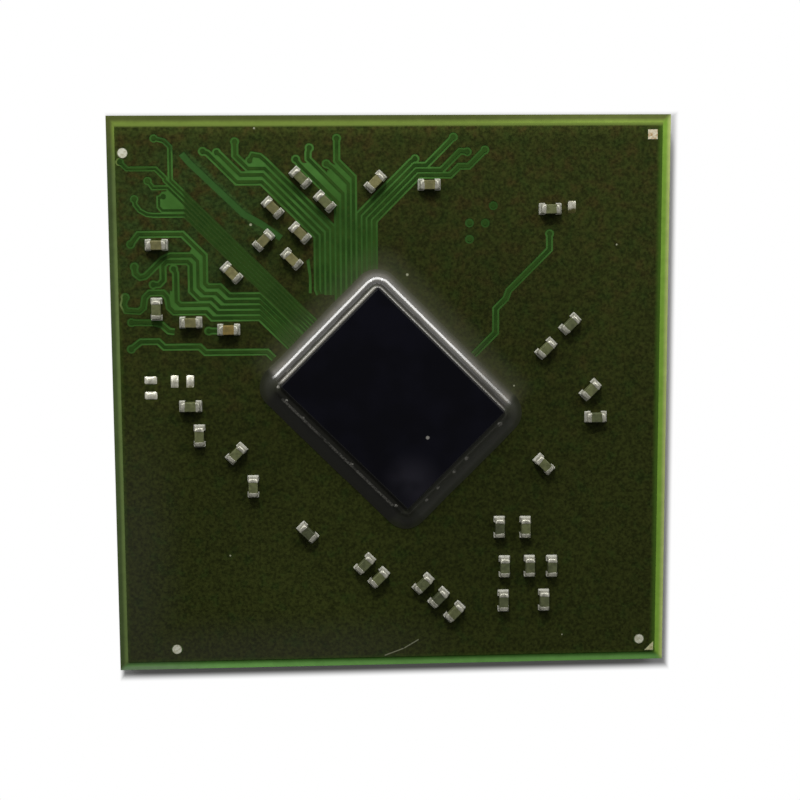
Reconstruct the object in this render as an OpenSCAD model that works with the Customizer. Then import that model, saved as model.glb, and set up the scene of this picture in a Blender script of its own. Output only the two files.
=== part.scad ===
// Flip-chip integrated circuit: a bare die on a square laminate, with chip capacitors round it
// and a grid of solder balls below. Origin at the middle of the seating plane, +Z towards the die.

/* [Laminate] */
// Side of the square laminate
body_size = 29; // [27:0.5:40]
// Thickness of the laminate
laminate_t = 1.1; // [0.8:0.05:1.6]
// Bare rim between the copper and the laminate's edge
rim = 0.42; // [0.3:0.02:0.6]

/* [Copper] */
// Thickness of the copper layer and the mask on it
copper_t = 0.02; // [0.015:0.005:0.04]
// Width of a signal trace
trace_w = 0.16; // [0.1:0.01:0.18]
// Bare gap on each side of a signal trace
trace_gap = 0.11; // [0.08:0.01:0.14]
// Width of a trace in the fine bundle
fine_w = 0.1; // [0.08:0.01:0.12]
// Bare gap on each side of a fine trace
fine_gap = 0.09; // [0.06:0.01:0.1]
// Distance between the fine traces' centre lines
fine_pitch = 0.19; // [0.17:0.01:0.24]
// Diameter of a via's pad
via_d = 0.26; // [0.2:0.02:0.34]
// Width of the bare band beside the fine bundle
band_w = 0.34; // [0.2:0.02:0.4]

/* [Marks] */
// Diameter of a sighting dot
dot_d = 0.54; // [0.3:0.02:0.7]
// Side of the corner pad
corner_pad_w = 0.5; // [0.3:0.02:0.6]
// Leg of the pin one triangle
pin_one_leg = 0.46; // [0.3:0.02:0.6]
// Distance from the pin one triangle to the laminate's edges
pin_one_inset = 0.5; // [0.45:0.01:0.7]
// Thickness of the marks' plating
mark_t = 0.026; // [0.015:0.001:0.04]
// Gap between a mark and the copper round it
mark_gap = 0.03; // [0.02:0.01:0.08]

/* [Die] */
// Long side of the die
die_l = 9.3; // [6:0.1:11]
// Short side of the die
die_w = 7.2; // [5:0.1:9]
// Thickness of the die
die_t = 0.78; // [0.6:0.01:0.85]
// Bevel along the die's top edges
die_bevel = 0.06; // [0.02:0.01:0.12]
// Turn of the die's long side from the X axis
die_turn = -45; // [-60:1:-30]
// Distance of the die from the laminate's middle, towards -Y
die_shift = 0.1; // [0:0.05:0.5]

/* [Die bumps] */
// Height of the bumps between the die and the copper
bump_h = 0.07; // [0.05:0.01:0.1]
// Diameter of a bump
bump_d = 0.12; // [0.08:0.01:0.16]
// Distance between the bumps
bump_pitch = 0.4; // [0.35:0.05:0.8]
// Least distance from a bump to the die's edge
bump_margin = 0.25; // [0.2:0.05:0.5]

/* [Underfill] */
// Reach of the fillet out from the die's upper left side
fillet_upper_left = 1.04; // [0.6:0.02:1.4]
// Reach of the fillet out from the die's upper right side
fillet_upper_right = 0.98; // [0.6:0.02:1.4]
// Reach of the fillet out from the die's lower right side
fillet_lower_right = 1.16; // [0.6:0.02:1.4]
// Reach of the fillet out from the die's lower left side
fillet_lower_left = 1.24; // [0.6:0.02:1.4]
// Width of the fillet's flat top where it reaches out furthest
fillet_flat = 0.34; // [0.02:0.02:0.4]
// Height of the fillet's flat top
fillet_h = 0.62; // [0.4:0.02:0.66]
// Depth of the fillet's hollow curve below its chord
fillet_sag = 0.13; // [0.05:0.01:0.2]
// Thickness of the fillet at its toe
fillet_toe_t = 0.02; // [0.01:0.005:0.04]

/* [Capacitors] */
// Length of a capacitor
cap_l = 1.04; // [0.8:0.02:1.2]
// Width of a capacitor
cap_w = 0.52; // [0.4:0.02:0.6]
// Height of a capacitor
cap_h = 0.5; // [0.3:0.02:0.6]
// Length of a plated end
cap_end = 0.23; // [0.15:0.01:0.32]
// Step from a plated end down to the ceramic
cap_step = 0.022; // [0.01:0.002:0.04]

/* [Capacitor solder] */
// Thickness of the solder below a capacitor
solder_t = 0.03; // [0.02:0.005:0.06]
// Height of the solder on a plated end
solder_h = 0.3; // [0.15:0.02:0.4]
// Reach of the pad past a capacitor's end
pad_reach = 0.1; // [0.06:0.01:0.2]
// Reach of the pad past a capacitor's side
pad_side = 0.06; // [0.04:0.01:0.12]
// Thickness of the solder on a bare pad, and at a joint's rim
pad_t = 0.05; // [0.03:0.01:0.08]
// Thickness of a joint's upper lip
solder_lip = 0.02; // [0.01:0.005:0.03]

/* [Bare pads] */
// Length of a pad that holds no capacitor
bare_pad_l = 0.4; // [0.2:0.02:0.5]
// Distance between the middles of a pair of such pads
bare_pad_pitch = 0.8; // [0.6:0.02:1]

/* [Solder balls] */
// Diameter of a ball
ball_d = 0.6; // [0.5:0.02:0.75]
// Height of the laminate above the seating plane
standoff = 0.46; // [0.4:0.01:0.48]
// Distance between the balls
ball_pitch = 1; // [0.8:0.05:1.27]
// Least distance from a ball's centre to the laminate's edge
ball_margin = 0.9; // [0.6:0.05:2]
// Rows of balls along each edge
ball_rows = 6; // [3:1:8]
// Balls along each side of the middle block
middle_balls = 10; // [0:2:12]
// Balls along each arm of a corner's support group
corner_arm = 2; // [1:1:3]

/* [Hidden] */
// Facets round a circle, and round the fillet's large arc
$fn = 64;
fillet_facets = 180;

// Levels above the seating plane
laminate_top = standoff + laminate_t;
copper_top = laminate_top + copper_t;
die_base = copper_top + bump_h;

// The layout below is drawn for a laminate of this side, and spreads with body_size
drawn_size = 29;
function place(p) = p * body_size / drawn_size;
function place_all(points) = [for (p = points) place(p)];
function corner(x_side, y_side, inset) =
    [x_side * (body_size / 2 - inset[0]), y_side * (body_size / 2 - inset[1])];

// Traces end below the underfill, halfway across the fillet on one of the die's two upper sides
die_middle = [0, -die_shift];
upper_left = -[cos(die_turn), sin(die_turn)];
upper_right = [-sin(die_turn), cos(die_turn)];
left_reach = (die_l + fillet_upper_left) / 2;
right_reach = (die_w + fillet_upper_right) / 2;
// End of a trace that runs from point p along d, on the side that faces the direction out
function trace_end(p, d, out, reach) = p + d * (reach - (p - die_middle) * out) / (d * out);
function end_right(p) = trace_end(p, [1, -1], upper_left, left_reach);
function end_down(p) = trace_end(p, [0, -1], upper_left, left_reach);
function end_left(p) = trace_end(p, [-1, -1], upper_right, right_reach);

// Traces along the points, each from a via. The last point is a bend before the end's run
// Down the left side and under the die
runs_right = [
    [[-13.4, 8], [-13, 8.5], [-10.75, 8.5], [-9.66, 7.4], [-9.66, 5.95], [-9.5, 5.79],
     [-8.9, 5.79], [-8.42, 5.31], [-6.85, 5.31]],
    [[-13.24, 6.85], [-13.2, 6.5], [-12.95, 6.3], [-12.7, 6.35], [-11.8, 7.2], [-11.4, 7.4],
     [-10.3, 7.4], [-10, 7.1], [-10, 5.77], [-9.68, 5.45], [-9.08, 5.45], [-8.65, 5.02], [-6.85, 5.02]],
    [[-12.3, 5.92], [-12, 5.92], [-11.78, 6.15], [-11.78, 6.9], [-11.58, 7.1], [-10.52, 7.1],
     [-10.34, 6.92], [-10.34, 5.59], [-9.91, 5.16], [-9.31, 5.16], [-8.88, 4.73], [-6.85, 4.73]],
    [[-11.24, 6.72], [-11.14, 6.5], [-11.14, 5.05], [-10.94, 4.85], [-9.45, 4.85], [-9.05, 4.45],
     [-6.85, 4.45]],
    [[-13.74, 5.28], [-13.85, 4.9], [-13.7, 4.6], [-13.05, 4.55], [-12.82, 4.75], [-12.75, 5.25],
     [-12.5, 5.5], [-11.8, 5.5], [-11.58, 5.25], [-11.5, 4.75], [-11.25, 4.5], [-9.6, 4.5],
     [-9.3, 4.17], [-6.85, 4.17]],
];
// Down from the top edge to the die
runs_down = [
    [[-4.9, 12.28], [-4.75, 12.05], [-2.78, 10.08]],
    [[-4.2, 12.86], [-4.27, 12.6], [-4.27, 12.3], [-2.5, 10.53]],
    [[-3.34, 12.05], [-3.05, 11.85], [-2.22, 11.02]],
    [[-2.8, 13.34], [-2.8, 12.2], [-1.96, 11.36]],
    [[1.22, 12.28], [1, 12.13], [-1.68, 9.45]],
    [[3.2, 13.38], [3, 13.15], [1.8, 11.95], [1.2, 11.95], [-1.42, 9.33]],
    [[3.92, 12.63], [3.55, 12.66], [2.58, 11.69], [1.3, 11.69], [-1.16, 9.23]],
    [[4.83, 12.72], [4, 11.89], [3.5, 11.89], [3.05, 11.44], [1.42, 11.44], [-0.9, 9.12]],
];
// To the die's right
runs_left = [
    [[8.22, 8.4], [8.22, 7.58], [6.1, 5.46], [5.95, 5.05], [5.42, 4.52], [5.42, 3.27]],
];
// Whole traces that end short of the die
runs_short = [
    [[-9.64, 12.7], [-9.4, 12.62], [-7.92, 11.14], [-6.65, 11.14], [-3.85, 8.34], [-3.85, 5.6],
     [-3.75, 5.35]],
    [[-8.93, 12.64], [-8.75, 12.5], [-7.75, 11.5], [-6.6, 11.5], [-3.58, 8.48], [-3.58, 5.35]],
    [[-8, 13.18], [-8, 12.48], [-7.34, 11.82], [-6.5, 11.82], [-3.31, 8.63], [-3.31, 5.3]],
    [[-7.25, 12.22], [-7.1, 12.5], [-6.75, 12.44], [-6.5, 12.24], [-3.04, 8.78], [-3.04, 5.3]],
    [[-13.45, 3.98], [-12.3, 3.95], [-11.9, 3.85], [-11.55, 3.52], [-11.25, 3.48]],
    [[-13.5, 2.6], [-13, 2.98], [-12.1, 2.98], [-11.8, 2.68], [-9.98, 2.68], [-9.68, 2.38],
     [-6.5, 2.38], [-6.15, 2.03]],
    [[-9.5, 3.5], [-8.98, 3.5]],
];
// Starts of the fine bundle's traces, from its upper one. Each then runs right and down to the die
fine_starts = [
    [[-12.1, 13.36], [-11.6, 13.24], [-11.3, 12.94]],
    [[-13.85, 12.18], [-13.5, 11.83], [-12.05, 11.83], [-11.58, 11.36]],
    [[-12.46, 11.22], [-12.2, 10.87]],
    [[-11.68, 10.42], [-11.9, 10.36], [-11.9, 9.9], [-11.74, 9.72]],
    [[-13.16, 10.3], [-13.12, 10.02], [-12.9, 9.72], [-12.55, 9.52], [-12.2, 9.47]],
];
// Direction of each start's last stretch before the bundle, straight down or to the right
fine_drops = [true, true, false, false, false];
// X + Y along the bundle's upper trace
bundle_line = -0.05;
function bundle_sum(i) = bundle_line - i * fine_pitch * sqrt(2);
function bundle_bend(i) =
    let (p = fine_starts[i][len(fine_starts[i]) - 1])
    fine_drops[i] ? [p[0], bundle_sum(i) - p[0]] : [bundle_sum(i) - p[1], p[1]];

function last(points) = points[len(points) - 1];
signal_routes = concat(
    [for (r = runs_right) let (q = place_all(r)) concat(q, [end_right(last(q))])],
    [for (r = runs_down) let (q = place_all(r)) concat(q, [end_down(last(q))])],
    [for (r = runs_left) let (q = place_all(r)) concat(q, [end_left(last(q))])],
    [for (r = runs_short) place_all(r)]
);
fine_routes = [
    for (i = [0 : len(fine_starts) - 1])
        let (q = place_all(concat(fine_starts[i], [bundle_bend(i)])))
        concat(q, [end_right(last(q))])
];

// Fields without copper between the traces, as outlines
bare_fields = [
    [[-11.78, 9.86], [-10.62, 9.86], [-10.7, 10.05], [-11.12, 10.55], [-11.4, 10.72], [-11.78, 10.68]],
    [[-3.3, 11.5], [-2.6, 10.6], [-2.36, 10.6], [-2.36, 11.1], [-3.02, 11.72], [-3.3, 11.72]],
    [[-8.78, 12.2], [-8, 11.3], [-6.7, 11.3], [-6.7, 11.34], [-7.85, 11.36], [-8.65, 12.3]],
    [[-11.45, 5.6], [-11.25, 5.6], [-11.2, 4.9], [-10.9, 4.75], [-11, 4.6], [-11.3, 4.65], [-11.48, 4.85]],
    [[-10.4, 7.6], [-10.25, 7.85], [-9.75, 7.35], [-9.8, 7.1], [-10.1, 7.4]],
    [[-4.55, 12.1], [-4.3, 12.1], [-2.5, 10.3], [-2.7, 10.15]],
    [[-2.98, 12.02], [-2.8, 12], [-2.05, 11.25], [-2.12, 11.1]],
    [[-7.3, 11.95], [-6.45, 11.95], [-6.5, 12.25], [-6.95, 12.4], [-7.3, 12.3]],
    [[-4.42, 7.1], [-4.25, 7.2], [-4.16, 6.3], [-4.16, 5.4], [-4.3, 5.4], [-4.3, 6.3]],
];
// Bare band beside the fine bundle
band_route = [[-10.72, 12.6], [-10.4, 12.2], [-7.6, 9.5], [-6.7, 9], [-5.7, 8.25]];
// Vias that no trace leaves
lone_vias = [[5.28, 9.86], [4.04, 8.98], [4.86, 8.97], [4.04, 8.14]];

// Capacitors: X, Y and the turn of the long side
capacitor_sites = [
    [-4.67, 11.34, -45], [-3.44, 10.12, -45], [-6.11, 9.82, -45], [-4.72, 8.52, -45],
    [-6.6, 8.15, 45], [-5.16, 7.18, -45], [-8.27, 6.5, -45], [-0.83, 11.12, 45],
    [1.95, 10.95, 0], [-12.08, 7.95, 0], [-12.15, 4.65, 90], [-10.41, 3.95, 0],
    [-8.47, 3.56, 0], [-10.51, -0.42, 0], [-10.08, -1.98, 90], [-8.18, -2.93, 45],
    [-7.33, -4.7, 90], [-4.51, -7.2, -45], [-1.52, -8.95, 45], [-0.78, -9.71, 45],
    [1.58, -10.08, 45], [2.4, -10.86, 45], [3.24, -11.65, 45], [8.24, 9.67, 0],
    [9.32, 3.68, 45], [8.06, 2.41, 45], [10.43, 0.2, 45], [10.73, -1.25, 0],
    [8, -3.74, -45], [5.64, -7.1, 90], [7.02, -7.12, 90], [5.92, -9.24, 90],
    [7.26, -9.24, 90], [8.45, -9.26, 90], [5.86, -11.1, 90], [8.04, -11.1, 90],
];
// Sites whose pads hold no capacitor, as above
empty_sites = [[-12.54, 0.56, 90], [-10.91, 0.88, 0]];
// A pad that stands alone
lone_pad = [9.38, 9.75];

// Sighting dots and the corner pad: the corner's sides, and the distances from its edges
dot_places = [[-1, 1, [0.8, 1.88]], [-1, -1, [3, 1.08]], [1, -1, [1.27, 1.12]]];
corner_pad_place = [1, 1, [0.93, 1.02]];

pad_l = cap_end + pad_reach;
pad_w = cap_w + 2 * pad_side;

// Balls along a side of the grid, and the middle block's bounds
balls = floor((body_size - 2 * ball_margin) / ball_pitch) + 1;
middle_first = (balls - middle_balls) / 2;
function ball_place(i) = (i - (balls - 1) / 2) * ball_pitch;
function edge_count(i) = min(i, balls - 1 - i);
function in_middle(i) = i >= floor(middle_first) && i < floor(middle_first) + middle_balls;
function has_ball(i, j) = min(edge_count(i), edge_count(j)) < ball_rows || (in_middle(i) && in_middle(j));
function at_corner(i, j) =
    min(edge_count(i), edge_count(j)) == 0 && max(edge_count(i), edge_count(j)) < corner_arm;

// Bumps along a side of the die
function bump_count(side) = floor((side - 2 * bump_margin) / bump_pitch) + 1;
function bump_place(i, side) = (i - (bump_count(side) - 1) / 2) * bump_pitch;

// Inner bounds of the ring that the fillet's section sweeps, in the die's own axes.
// The section is as wide as the furthest reach, and the die cuts off what lies inside it
fillet_w = max(fillet_upper_left, fillet_upper_right, fillet_lower_right, fillet_lower_left);
ring_left = fillet_w - fillet_upper_left - die_l / 2;
ring_right = die_l / 2 + fillet_lower_right - fillet_w;
ring_back = die_w / 2 + fillet_upper_right - fillet_w;
ring_front = fillet_w - fillet_lower_left - die_w / 2;
ring_l = ring_right - ring_left;
ring_w = ring_back - ring_front;
ring_middle = [(ring_left + ring_right) / 2, (ring_front + ring_back) / 2, 0];

// Fillet's hollow curve: an arc from its flat top's edge to its toe
fillet_top = [fillet_flat, fillet_h];
fillet_toe = [fillet_w, fillet_toe_t];
fillet_chord = norm(fillet_toe - fillet_top);
fillet_r = fillet_chord * fillet_chord / (8 * fillet_sag) + fillet_sag / 2;
fillet_out = [fillet_top[1] - fillet_toe[1], fillet_toe[0] - fillet_top[0]] / fillet_chord;
fillet_centre = (fillet_top + fillet_toe) / 2 + fillet_out * (fillet_r - fillet_sag);

function capacitor_name(i) = str("capacitor_", i < 9 ? "0" : "", i + 1);

// Outline of a strip of half width h along the points, with mitred bends
function heading(points, i) = let (d = points[i + 1] - points[i]) d / norm(d);
function left_of(d) = [-d[1], d[0]];
function mitre(points, i) =
    let (
        n = len(points) - 1,
        a = left_of(heading(points, max(i - 1, 0))),
        b = left_of(heading(points, min(i, n - 1)))
    )
    (a + b) / (1 + a * b);
function strip_side(points, h) = [for (i = [0 : len(points) - 1]) points[i] + h * mitre(points, i)];
function backwards(points) = [for (i = [len(points) - 1 : -1 : 0]) points[i]];

module strip(points, h) {
    polygon(concat(strip_side(points, -h), backwards(strip_side(points, h))));
}

module square_at(p, side) {
    translate(p) square(side, center = true);
}

module pin_one_outline(grow) {
    corner_xy = corner(1, -1, [pin_one_inset - grow, pin_one_inset - grow]);
    leg = pin_one_leg + (2 + sqrt(2)) * grow;
    translate(corner_xy) polygon([[0, 0], [0, leg], [-leg, 0]]);
}

module copper_sheet() {
    square(body_size - 2 * rim, center = true);
}

// Everything that is bare of copper in the pour
module pour_gaps() {
    for (r = signal_routes) strip(r, trace_w / 2 + trace_gap);
    for (r = signal_routes) translate(r[0]) circle(d = via_d + 2 * trace_gap);
    for (r = fine_routes) strip(r, fine_w / 2 + fine_gap);
    for (r = fine_routes) translate(r[0]) circle(d = via_d + 2 * fine_gap);
    for (f = bare_fields) polygon(place_all(f));
    strip(place_all(band_route), band_w / 2);
    for (v = lone_vias) translate(place(v)) circle(d = via_d + 2 * trace_gap);
    for (p = dot_places) translate(corner(p[0], p[1], p[2])) circle(d = dot_d + 2 * mark_gap);
    square_at(corner(corner_pad_place[0], corner_pad_place[1], corner_pad_place[2]),
        corner_pad_w + 2 * mark_gap);
    pin_one_outline(mark_gap);
}

// The traces and their via pads
module trace_shapes() {
    for (r = signal_routes) strip(r, trace_w / 2);
    for (r = signal_routes) translate(r[0]) circle(d = via_d);
    for (r = fine_routes) strip(r, fine_w / 2);
    for (r = fine_routes) translate(r[0]) circle(d = via_d);
    for (v = lone_vias) translate(place(v)) circle(d = via_d);
}

module on_laminate(height) {
    translate([0, 0, laminate_top]) linear_extrude(height) children();
}

module substrate() {
    color("#6b7f3a") translate([0, 0, standoff])
        linear_extrude(laminate_t) square(body_size, center = true);
}

module copper_pour() {
    color("#2f361b") on_laminate(copper_t) difference() {
        copper_sheet();
        pour_gaps();
    }
}

module signal_traces() {
    color("#24421f") on_laminate(copper_t) intersection() {
        copper_sheet();
        trace_shapes();
    }
}

module fiducial_dots() {
    color("#e9dfc4") on_laminate(mark_t)
        for (p = dot_places) translate(corner(p[0], p[1], p[2])) circle(d = dot_d);
}

module corner_pad() {
    color("#d8c48c") on_laminate(mark_t)
        square_at(corner(corner_pad_place[0], corner_pad_place[1], corner_pad_place[2]), corner_pad_w);
}

module pin_one_mark() {
    color("#d8c48c") on_laminate(mark_t) pin_one_outline(0);
}

// Moves its children to a capacitor's site, on the copper
module at_site(site) {
    xy = place([site[0], site[1]]);
    translate([xy[0], xy[1], copper_top]) rotate(site[2]) children();
}

module bare_pad(x) {
    translate([x, 0, pad_t / 2]) cube([bare_pad_l, pad_w, pad_t], center = true);
}

module bare_pads() {
    color("#e6e4da") {
        for (s = empty_sites) at_site(s) for (side = [-1, 1]) bare_pad(side * bare_pad_pitch / 2);
        at_site([lone_pad[0], lone_pad[1], 0]) bare_pad(0);
    }
}

// Room that a capacitor takes up, standing on its solder
module capacitor_room() {
    translate([0, 0, solder_t + cap_h / 2]) cube([cap_l, cap_w, cap_h], center = true);
}

// Solder of one end, sloping up to the plated end on three sides
module solder_joint() {
    inner = cap_l / 2 - cap_end;
    outer = cap_l / 2 + pad_reach;
    top_x = cap_l / 2 + solder_lip;
    top_y = cap_w / 2 + solder_lip;
    along = [[inner, 0], [outer, 0], [outer, pad_t], [top_x, solder_h], [inner, solder_h]];
    across = [[-pad_w / 2, 0], [pad_w / 2, 0], [pad_w / 2, pad_t], [top_y, solder_h],
        [-top_y, solder_h], [-pad_w / 2, pad_t]];
    difference() {
        intersection() {
            rotate([90, 0, 0]) linear_extrude(pad_w, center = true) polygon(along);
            translate([inner, 0, 0]) rotate([90, 0, 90]) linear_extrude(pad_l) polygon(across);
        }
        capacitor_room();
    }
}

module capacitor_solder() {
    color("#d9d7cf")
        for (s = capacitor_sites) at_site(s) for (turn = [0, 180]) rotate(turn) solder_joint();
}

module capacitor(i) {
    bare = [cap_l - cap_end, cap_w - 2 * cap_step, cap_h - 2 * cap_step];
    color("#a08c5c") at_site(capacitor_sites[i]) translate([0, 0, solder_t + cap_h / 2]) union() {
        cube(bare, center = true);
        for (side = [-1, 1])
            translate([side * (cap_l - cap_end) / 2, 0, 0]) cube([cap_end, cap_w, cap_h], center = true);
    }
}

// Moves its children to the die's own axes, on the copper
module at_die() {
    translate([0, -die_shift, copper_top]) rotate(die_turn) children();
}

// Section of the die across a side, bevelled along its top edges
module die_section(side) {
    half = side / 2;
    polygon([[-half, 0], [half, 0], [half, die_t - die_bevel], [half - die_bevel, die_t],
        [die_bevel - half, die_t], [-half, die_t - die_bevel]]);
}

module die() {
    color("#0c0c16") at_die() translate([0, 0, bump_h]) intersection() {
        rotate([90, 0, 0]) linear_extrude(die_w, center = true) die_section(die_l);
        rotate([90, 0, 90]) linear_extrude(die_l, center = true) die_section(die_w);
    }
}

module bump_grid() {
    for (i = [0 : bump_count(die_l) - 1], j = [0 : bump_count(die_w) - 1])
        translate([bump_place(i, die_l), bump_place(j, die_w), 0]) cylinder(d = bump_d, h = bump_h);
}

module die_bumps() {
    color("#b8b8b8") at_die() bump_grid();
}

// Section of the fillet, out from the die's side
module fillet_section() {
    difference() {
        square([fillet_w, fillet_h]);
        translate(fillet_centre) circle(r = fillet_r, $fn = fillet_facets);
    }
}

module fillet_side(length) {
    rotate([90, 0, 0]) linear_extrude(length, center = true) fillet_section();
}

module fillet_corner() {
    rotate_extrude(angle = 90) fillet_section();
}

module die_room() {
    translate([0, 0, bump_h + die_t / 2]) cube([die_l, die_w, die_t], center = true);
}

module underfill() {
    color("#4a4a48") at_die() difference() {
        union() {
            translate([0, 0, bump_h / 2]) cube([die_l, die_w, bump_h], center = true);
            translate(ring_middle) for (turn = [0, 180]) rotate(turn) {
                translate([ring_l / 2, 0, 0]) fillet_side(ring_w);
                translate([0, ring_w / 2, 0]) rotate(90) fillet_side(ring_l);
                translate([ring_l / 2, ring_w / 2, 0]) fillet_corner();
                translate([-ring_l / 2, ring_w / 2, 0]) rotate(90) fillet_corner();
            }
        }
        die_room();
        bump_grid();
    }
}

// A ball on the seating plane, flat where it meets the laminate
module ball() {
    rotate_extrude() intersection() {
        translate([0, ball_d / 2]) circle(d = ball_d);
        square([ball_d / 2, standoff]);
    }
}

module ball_group(corners) {
    for (i = [0 : balls - 1], j = [0 : balls - 1])
        if (has_ball(i, j) && at_corner(i, j) == corners)
            translate([ball_place(i), ball_place(j), 0]) ball();
}

module corner_balls() {
    color("#c9c9c6") ball_group(true);
}

module signal_balls() {
    color("#c4c4c1") ball_group(false);
}

substrate();
copper_pour();
signal_traces();
fiducial_dots();
corner_pad();
pin_one_mark();
bare_pads();
capacitor_solder();
die();
die_bumps();
underfill();
corner_balls();
signal_balls();
for (i = [0 : len(capacitor_sites) - 1])
    capacitor(i);
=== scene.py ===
"""Looks of a flip-chip package: laminate, routed copper, die with its fillet, capacitors and solder balls.

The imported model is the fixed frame. Laminate, copper, marks, die, bumps and balls keep its solids and get
materials here. Capacitors, their solder, the bare pads and the fillet are replaced by finer meshes of the
same size. Lengths are in millimetres and angles in degrees, unless a comment says otherwise.
"""
from __future__ import annotations

import logging
import math
import random
from dataclasses import dataclass, field
from enum import Enum
from functools import cached_property
from typing import Any, NamedTuple, Sequence

import bmesh
import bpy
from mathutils import Euler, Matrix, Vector

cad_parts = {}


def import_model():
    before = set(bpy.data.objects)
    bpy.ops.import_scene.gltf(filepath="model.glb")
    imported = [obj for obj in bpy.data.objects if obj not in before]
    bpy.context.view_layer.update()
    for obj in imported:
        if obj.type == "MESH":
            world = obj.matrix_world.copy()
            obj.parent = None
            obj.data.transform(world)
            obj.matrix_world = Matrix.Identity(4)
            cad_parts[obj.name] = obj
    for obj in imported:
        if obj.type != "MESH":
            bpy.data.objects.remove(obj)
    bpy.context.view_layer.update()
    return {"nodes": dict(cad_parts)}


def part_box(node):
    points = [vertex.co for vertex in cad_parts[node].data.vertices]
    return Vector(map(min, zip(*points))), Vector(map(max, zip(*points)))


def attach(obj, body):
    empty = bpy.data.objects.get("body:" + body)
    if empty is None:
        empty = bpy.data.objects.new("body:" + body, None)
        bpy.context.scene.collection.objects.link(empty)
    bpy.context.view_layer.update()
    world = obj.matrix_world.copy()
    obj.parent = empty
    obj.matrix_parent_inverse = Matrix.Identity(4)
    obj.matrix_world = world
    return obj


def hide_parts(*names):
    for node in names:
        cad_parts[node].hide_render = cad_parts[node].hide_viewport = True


log = logging.getLogger("package")

MM = 0.001
BODY = "root"
SAME_PLACE = 0.00001  # corners nearer than this become one
TINY = 1e-6  # a part of a direction below this counts as none
QUARTER = math.pi / 2
WHITE = (1.0, 1.0, 1.0, 1.0)

Colour = tuple[float, float, float, float]
Point = tuple[float, float, float]
Place = tuple[float, float]
Face = tuple[int, ...]
Spot = tuple[float, float, float]  # X, Y and radius
Fade = tuple[float, float]  # the two values between which something changes
Ramp = tuple[float, float, float]  # where a change starts and ends, and how much it comes to
Level = tuple[float, float]  # a middle value and the spread of noise about it
Relief = tuple[float, float]  # strength and depth of a bump
Noise = tuple[float, int]  # size of the patches and number of finer layers


def tint(red: float, green: float, blue: float) -> Colour:
    """Turns screen levels into a linear colour.

    Args:
        red: Level from 0 to 255.
        green: Level from 0 to 255.
        blue: Level from 0 to 255.

    Returns:
        The linear colour, with an alpha of 1.
    """
    def linear(level: float) -> float:
        """Linear value of one screen level."""
        share = level / 255
        return share / 12.92 if share <= 0.04045 else ((share + 0.055) / 1.055) ** 2.4

    return (linear(red), linear(green), linear(blue), 1.0)


def turned(along: float, across: float, angle: float) -> Place:
    """Turns a place about the origin.

    Args:
        along: Position along the first axis.
        across: Position along the second axis.
        angle: The turn in radians.

    Returns:
        The turned place.
    """
    c, s = math.cos(angle), math.sin(angle)
    return c * along - s * across, s * along + c * across


class Wire:
    """A number that flows between nodes. Arithmetic on it adds Math nodes."""

    def __init__(self, shader: Shader, socket: bpy.types.NodeSocket) -> None:
        """Wraps an output socket of a shader's node."""
        self.shader = shader
        self.socket = socket

    def math(self, operation: str, *values: Any) -> Wire:
        """Adds a Math node.

        Args:
            operation: The node's operation.
            values: Its inputs, as wires or numbers.

        Returns:
            The node's output.
        """
        return self.shader.wire("ShaderNodeMath", {"operation": operation}, dict(enumerate(values)))

    def __add__(self, other: Any) -> Wire:
        """Sum."""
        return self.math("ADD", self, other)

    def __radd__(self, other: Any) -> Wire:
        """Sum, with the wire on the right."""
        return self.math("ADD", other, self)

    def __sub__(self, other: Any) -> Wire:
        """Difference."""
        return self.math("SUBTRACT", self, other)

    def __rsub__(self, other: Any) -> Wire:
        """Difference, with the wire on the right."""
        return self.math("SUBTRACT", other, self)

    def __mul__(self, other: Any) -> Wire:
        """Product."""
        return self.math("MULTIPLY", self, other)

    def __rmul__(self, other: Any) -> Wire:
        """Product, with the wire on the right."""
        return self.math("MULTIPLY", other, self)

    def __truediv__(self, other: Any) -> Wire:
        """Quotient."""
        return self.math("DIVIDE", self, other)

    def __pow__(self, other: Any) -> Wire:
        """Power."""
        return self.math("POWER", self, other)

    def __neg__(self) -> Wire:
        """The same size with the other sign."""
        return 0 - self

    def __abs__(self) -> Wire:
        """Size without sign."""
        return self.math("ABSOLUTE", self)

    def larger(self, other: Any) -> Wire:
        """The larger of two values."""
        return self.math("MAXIMUM", self, other)

    def smaller(self, other: Any) -> Wire:
        """The smaller of two values."""
        return self.math("MINIMUM", self, other)

    def fraction(self) -> Wire:
        """What lies past the whole number below."""
        return self.math("FRACT", self)

    def rise(self, low: float, high: float) -> Wire:
        """Goes smoothly from 0 at low to 1 at high.

        Args:
            low: Value at which the result is 0.
            high: Value at which the result is 1.

        Returns:
            The smooth step.
        """
        return self.shader.wire(
            "ShaderNodeMapRange",
            {"interpolation_type": "SMOOTHSTEP"},
            {"Value": self, "From Min": low, "From Max": high},
        )

    def fall(self, low: float, high: float) -> Wire:
        """Goes smoothly from 1 at low to 0 at high."""
        return 1 - self.rise(low, high)

    def ramp(self, start: float, end: float, most: float) -> Wire:
        """Goes smoothly from 0 to a share of its own, upwards or downwards.

        Args:
            start: Value at which the result is 0.
            end: Value at which it is largest, above or below the start.
            most: The largest result.

        Returns:
            The weighed step.
        """
        step = self.rise(start, end) if start < end else self.fall(end, start)
        return most * step

    def about(self, level: float, spread: float) -> Wire:
        """Moves noise about 0.5 to another level, with a spread of its own."""
        return level - spread / 2 + spread * self


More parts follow.
